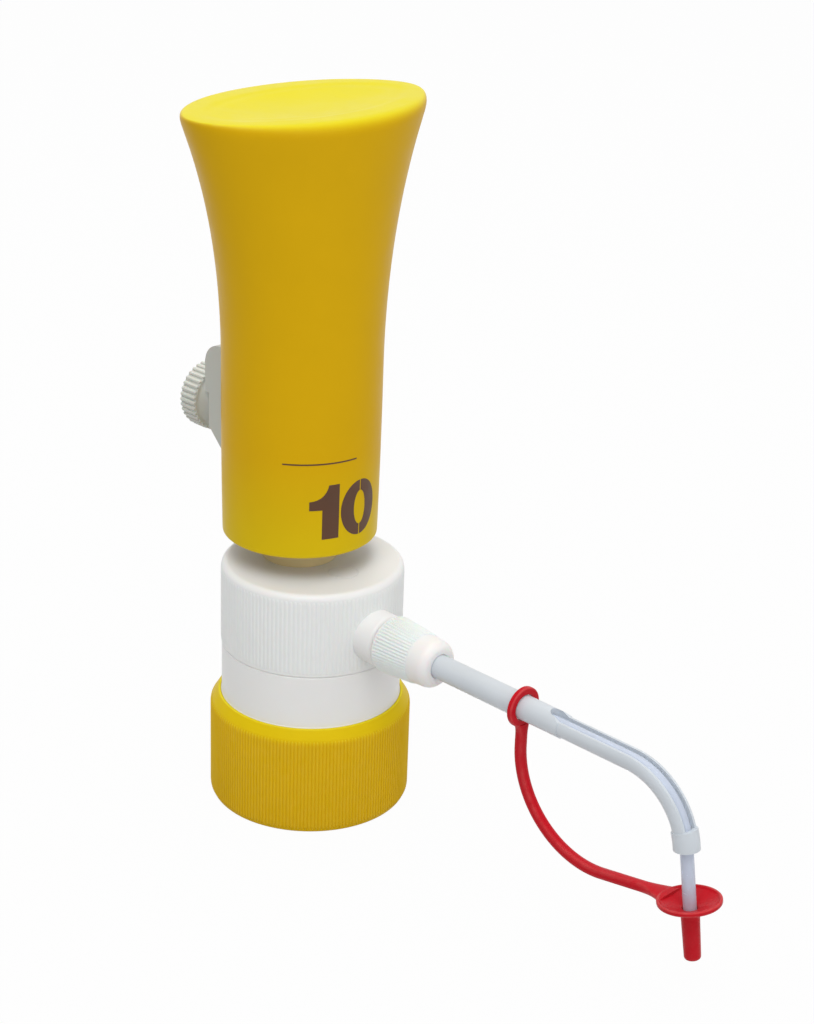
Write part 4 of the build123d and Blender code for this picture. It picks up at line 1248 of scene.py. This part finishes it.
class MakeClosure(Piece, bpy.types.Operator):
    """Build the ring, the strap and the cap that close the spout"""

    bl_idname = "dispenser.closure"
    bl_label = "Closure"

    def strap_path(self):
        """Centre line of the strap as (x, z, heading) from the ring to the disc."""
        given, spout = settings("closure"), settings("spout")
        rise = given.strap_rise
        disc = tip_place() @ Vector((0, 0, given.disc_down + 0.7 * MM))
        centre_x = given.ring_place + given.strap_radius
        centre_z = disc.z + (given.strap_radius + (centre_x - disc.x) * math.sin(rise)) / math.cos(rise)
        top_z = spout.axis_height - given.ring_radius + 0.6 * MM
        path = [(given.ring_place, z, -QUARTER_TURN) for z in spaced(top_z, centre_z, 22)]
        for turn in spaced(0, QUARTER_TURN + rise, 40)[1:]:
            path.append((centre_x - given.strap_radius * math.cos(turn),
                         centre_z - given.strap_radius * math.sin(turn), turn - QUARTER_TURN))
        start = Vector((path[-1][0], 0, path[-1][1]))
        reach = (disc - start).length - given.disc_radius + 2.2 * MM
        heading = Vector((math.cos(rise), 0, math.sin(rise)))
        for share in spaced(0, 1, 26)[1:]:
            point = start + heading * reach * share
            path.append((point.x, point.z, rise))
        return path

    def strap_rows(self):
        """Sections of the strap, which widens where it grows out of the ring and of the disc."""
        given = settings("closure")
        path = self.strap_path()
        length = [0.0]
        for before, after in zip(path, path[1:]):
            length.append(length[-1] + math.hypot(after[0] - before[0], after[1] - before[1]))
        ring_reach, ring_power, ring_growth = STRAP_AT_RING
        disc_reach, disc_power, disc_growth = STRAP_AT_DISC
        rows = []
        for (x, z, heading), done in zip(path, length):
            near_ring = max(0.0, 1 - done / ring_reach) ** ring_power
            near_disc = max(0.0, 1 - (length[-1] - done) / disc_reach) ** disc_power
            half_width = given.strap_width / 2 + ring_growth * near_ring + disc_growth * near_disc
            half_depth = given.strap_depth / 2 * (1 - 0.25 * near_ring) - 0.65 * MM * near_disc
            normal = (-math.sin(heading), math.cos(heading))
            rows.append([(x + deep * normal[0], across, z + deep * normal[1])
                         for across, deep in rounded_section(half_width, half_depth)])
        return rows

    def make(self):
        given, spout = settings("closure"), settings("spout")
        plastic = plastic_of("closure")
        half = given.ring_width / 2
        ring = turned("closure_ring", softened([
            (given.ring_bore, -half, 0.3 * MM), (given.ring_radius, -half, 0.45 * MM),
            (given.ring_radius, half, 0.45 * MM), (given.ring_bore, half, 0.3 * MM)], 6),
            along_spout(given.ring_place, spout.axis_height), steps=96)
        dress(ring, plastic, "spout", "closure_red", "cap_ring")
        tube, bore = given.tube_radius, given.bore_radius
        rim, end = given.disc_radius, given.tube_length
        place = tip_place() @ Matrix.Translation((0, 0, given.disc_down))
        cap = turned("closure_cap_body", softened([
            (0, given.bore_depth, 0), (bore, given.bore_depth, 0), (bore, 2.3 * MM, 0.8 * MM),
            (rim - 1.0 * MM, 0.5 * MM, 0.8 * MM), (rim - 0.5 * MM, -0.05 * MM, 0.3 * MM),
            (rim, 0.1 * MM, 0.3 * MM), (rim, 1.15 * MM, 0.45 * MM), (4.0 * MM, 1.9 * MM, 1.2 * MM),
            (tube, 3.6 * MM, 1.2 * MM), (given.tube_tip, end, 0.9 * MM), (0, end, 0)], 6), place, steps=128)
        dress(cap, plastic, "cap", "closure_red", "closure_cap")
        strap = swept("closure_strap", self.strap_rows())
        dress(strap, plastic, None, "closure_red", "cap_strap")
        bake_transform(strap)


class FinishInside(Piece, bpy.types.Operator):
    """Finish the barrel, the plunger and the valves"""

    bl_idname = "dispenser.inside"
    bl_label = "Barrel, Plunger and Valves"

    def make(self):
        fluoro = finish("Fluoropolymer White", moulded, (0.84, 0.84, 0.82), 0.34, 0.02 * MM, mottle=0.05,
                        Subsurface_Weight=0.3, Subsurface_Scale=2.0 * MM)
        seal = finish("Seal Grey", moulded, (0.045, 0.045, 0.048), 0.55, 0.05 * MM, mottle=0.3)
        ceramic = finish("Valve Ceramic", moulded, (0.86, 0.85, 0.81), 0.12, 0.004 * MM, mottle=0.04,
                         Coat_Weight=0.5, Coat_Roughness=0.05)
        rod = finish("Plunger White", moulded, (0.80, 0.80, 0.77), 0.4, 0.02 * MM, mottle=0.06)
        # the guard's amber tint is partly its own colour and partly painted warm light bounced from the yellow
        # sleeve onto its shaded face
        guard = finish("Guard Clear", clear_plastic, (0.90, 0.74, 0.40), 0.3, 0.3, cloud=0.2)
        glass = finish("Barrel Glass", clear_plastic, (0.93, 0.96, 0.96), 0.03, 1.0, cloud=0.04)
        finish_nodes(fluoro, "bottle_gasket", "intake_nipple", "intake_seat", "intake_cage", "discharge_seat",
                     "piston_head")
        finish_nodes(seal, "barrel_seal", "piston_seals")
        finish_nodes(ceramic, "intake_ball", "discharge_ball")
        finish_nodes(rod, "piston_rod", "rod_nut")
        finish_nodes(guard, "barrel_guard")
        finish_nodes(glass, "barrel")


def seen_directly(tree):
    """One for rays from the camera, straight, mirrored or through clear plastic, and nought for the rest."""
    path = tree.node("ShaderNodeLightPath").outputs
    seen = tree.maths("MAXIMUM", path["Is Camera Ray"], path["Is Glossy Ray"])
    return tree.maths("MAXIMUM", seen, path["Is Transmission Ray"])


class MakeStage(Piece, bpy.types.Operator):
    """Set up the floor, the lamps and the camera"""

    bl_idname = "dispenser.stage"
    bl_label = "Stage"

    def floor(self):
        given = settings("stage")
        look = Finish("Stage Floor", Roughness=0.9, Specular_IOR_Level=0.1)
        place = look.node("ShaderNodeTexCoord").outputs["Object"]
        shade = ranged(look, noise(look, place, 0.3, 2.0), 0.3, 0.7, 0.985, 1.0)
        colour = mixed(look, 1.0, with_alpha(given.floor), grey(look, shade), "MULTIPLY")
        look.feed(look.shader.inputs["Base Color"], colour)
        glow = look.out("ShaderNodeEmission", {"Color": WHITE, "Strength": 1.0})
        share = look.times(seen_directly(look), 0.97)
        both = look.out("ShaderNodeMixShader", {0: share, 1: look.shader.outputs[0], 2: glow})
        look.feed(look.tree.nodes["Material Output"].inputs["Surface"], both)
        half = given.floor_size / 2
        corners = [(-half, -half, 0), (half, -half, 0), (half, half, 0), (-half, half, 0)]
        floor = mesh_object("stage_floor", corners, [(0, 1, 2, 3)])
        floor.data.materials.append(look.material)
        return floor

    def lamp(self, name, place, aim, size, power):
        light = bpy.data.lights.new(name, "AREA")
        light.shape = "DISK"
        light.size = size
        light.energy = power
        lamp = new_object(name, light)
        lamp.location = place
        lamp.rotation_euler = (Vector(aim) - Vector(place)).to_track_quat("-Z", "Y").to_euler()
        return lamp

    def sky(self):
        given = settings("stage")
        world = bpy.data.worlds.new("Stage Sky")
        world.use_nodes = True
        bpy.context.scene.world = world
        tree = Tree(world.node_tree)
        seen = seen_directly(tree)
        lit, white = (tree.out("ShaderNodeBackground", {"Color": WHITE, "Strength": strength})
                      for strength in (given.sky, 1.0))
        both = tree.out("ShaderNodeMixShader", {0: seen, 1: lit, 2: white})
        tree.feed(world.node_tree.nodes["World Output"].inputs["Surface"], both)

    def camera(self):
        eye = bpy.data.cameras.new("Camera")
        eye.lens = settings("stage").lens
        eye.sensor_width = 36.0
        eye.clip_start, eye.clip_end = 0.02, 20.0
        camera = new_object("Camera", eye)
        right, up, back = (Vector(way).normalized() for way in (
            (0.7032, 0.7103, 0.0328), (-0.2964, 0.2509, 0.9215), (0.6463, -0.6577, 0.3869)))
        turn = Matrix((right, up, back)).transposed()
        camera.matrix_world = Matrix.Translation((0.3820, -0.3546, 0.2989)) @ turn.to_4x4()
        bpy.context.scene.camera = camera

    def make(self):
        given = settings("stage")
        middle = (0.02, 0, 0.1)
        lamps = [
            self.lamp("stage_key", (0.40, -0.55, 1.25), middle, 0.9, given.key_power),
            self.lamp("stage_fill", (1.0, -0.05, 0.42), middle, 0.9, given.fill_power),
            self.lamp("stage_top", (-0.25, 0.2, 1.3), middle, 1.1, given.top_power)]
        self.floor()
        self.sky()
        self.camera()
        bpy.context.scene.view_settings.view_transform = "Standard"


# ---------------------------------------------------------------- add-on


PIECES = (MakeCollar, MakeBlock, MakeNut, MakeSleeve, MakePrint, MakeSlider, MakeSpout, MakeClosure,
          FinishInside, MakeStage)
GROUPS = {
    "collar": CollarSettings, "block": BlockSettings, "nut": NutSettings, "sleeve": SleeveSettings,
    "print": PrintSettings, "slider": SliderSettings, "spout": SpoutSettings, "closure": ClosureSettings,
    "stage": StageSettings,
}


class DispenserPanel(bpy.types.Panel):
    """Pieces and sizes of the dispenser"""

    bl_idname = "VIEW3D_PT_dispenser"
    bl_label = "Bottle Top Dispenser"
    bl_space_type = "VIEW_3D"
    bl_region_type = "UI"
    bl_category = "Dispenser"

    def draw(self, context):
        for piece in PIECES:
            self.layout.operator(piece.bl_idname)
        for name, group in GROUPS.items():
            box = self.layout.box()
            box.label(text=name.title())
            for label in group.__annotations__:
                box.prop(settings(name), label)


CLASSES = (*GROUPS.values(), *PIECES, DispenserPanel)


def register():
    for each in CLASSES:
        bpy.utils.register_class(each)
    for name, group in GROUPS.items():
        setattr(bpy.types.Scene, "dispenser_" + name, bpy.props.PointerProperty(type=group))


def unregister():
    for name in GROUPS:
        delattr(bpy.types.Scene, "dispenser_" + name)
    for each in reversed(CLASSES):
        bpy.utils.unregister_class(each)


def main():
    register()
    for piece in PIECES:
        group, name = piece.bl_idname.split(".")
        getattr(getattr(bpy.ops, group), name)()


if __name__ == "__main__":
    main()
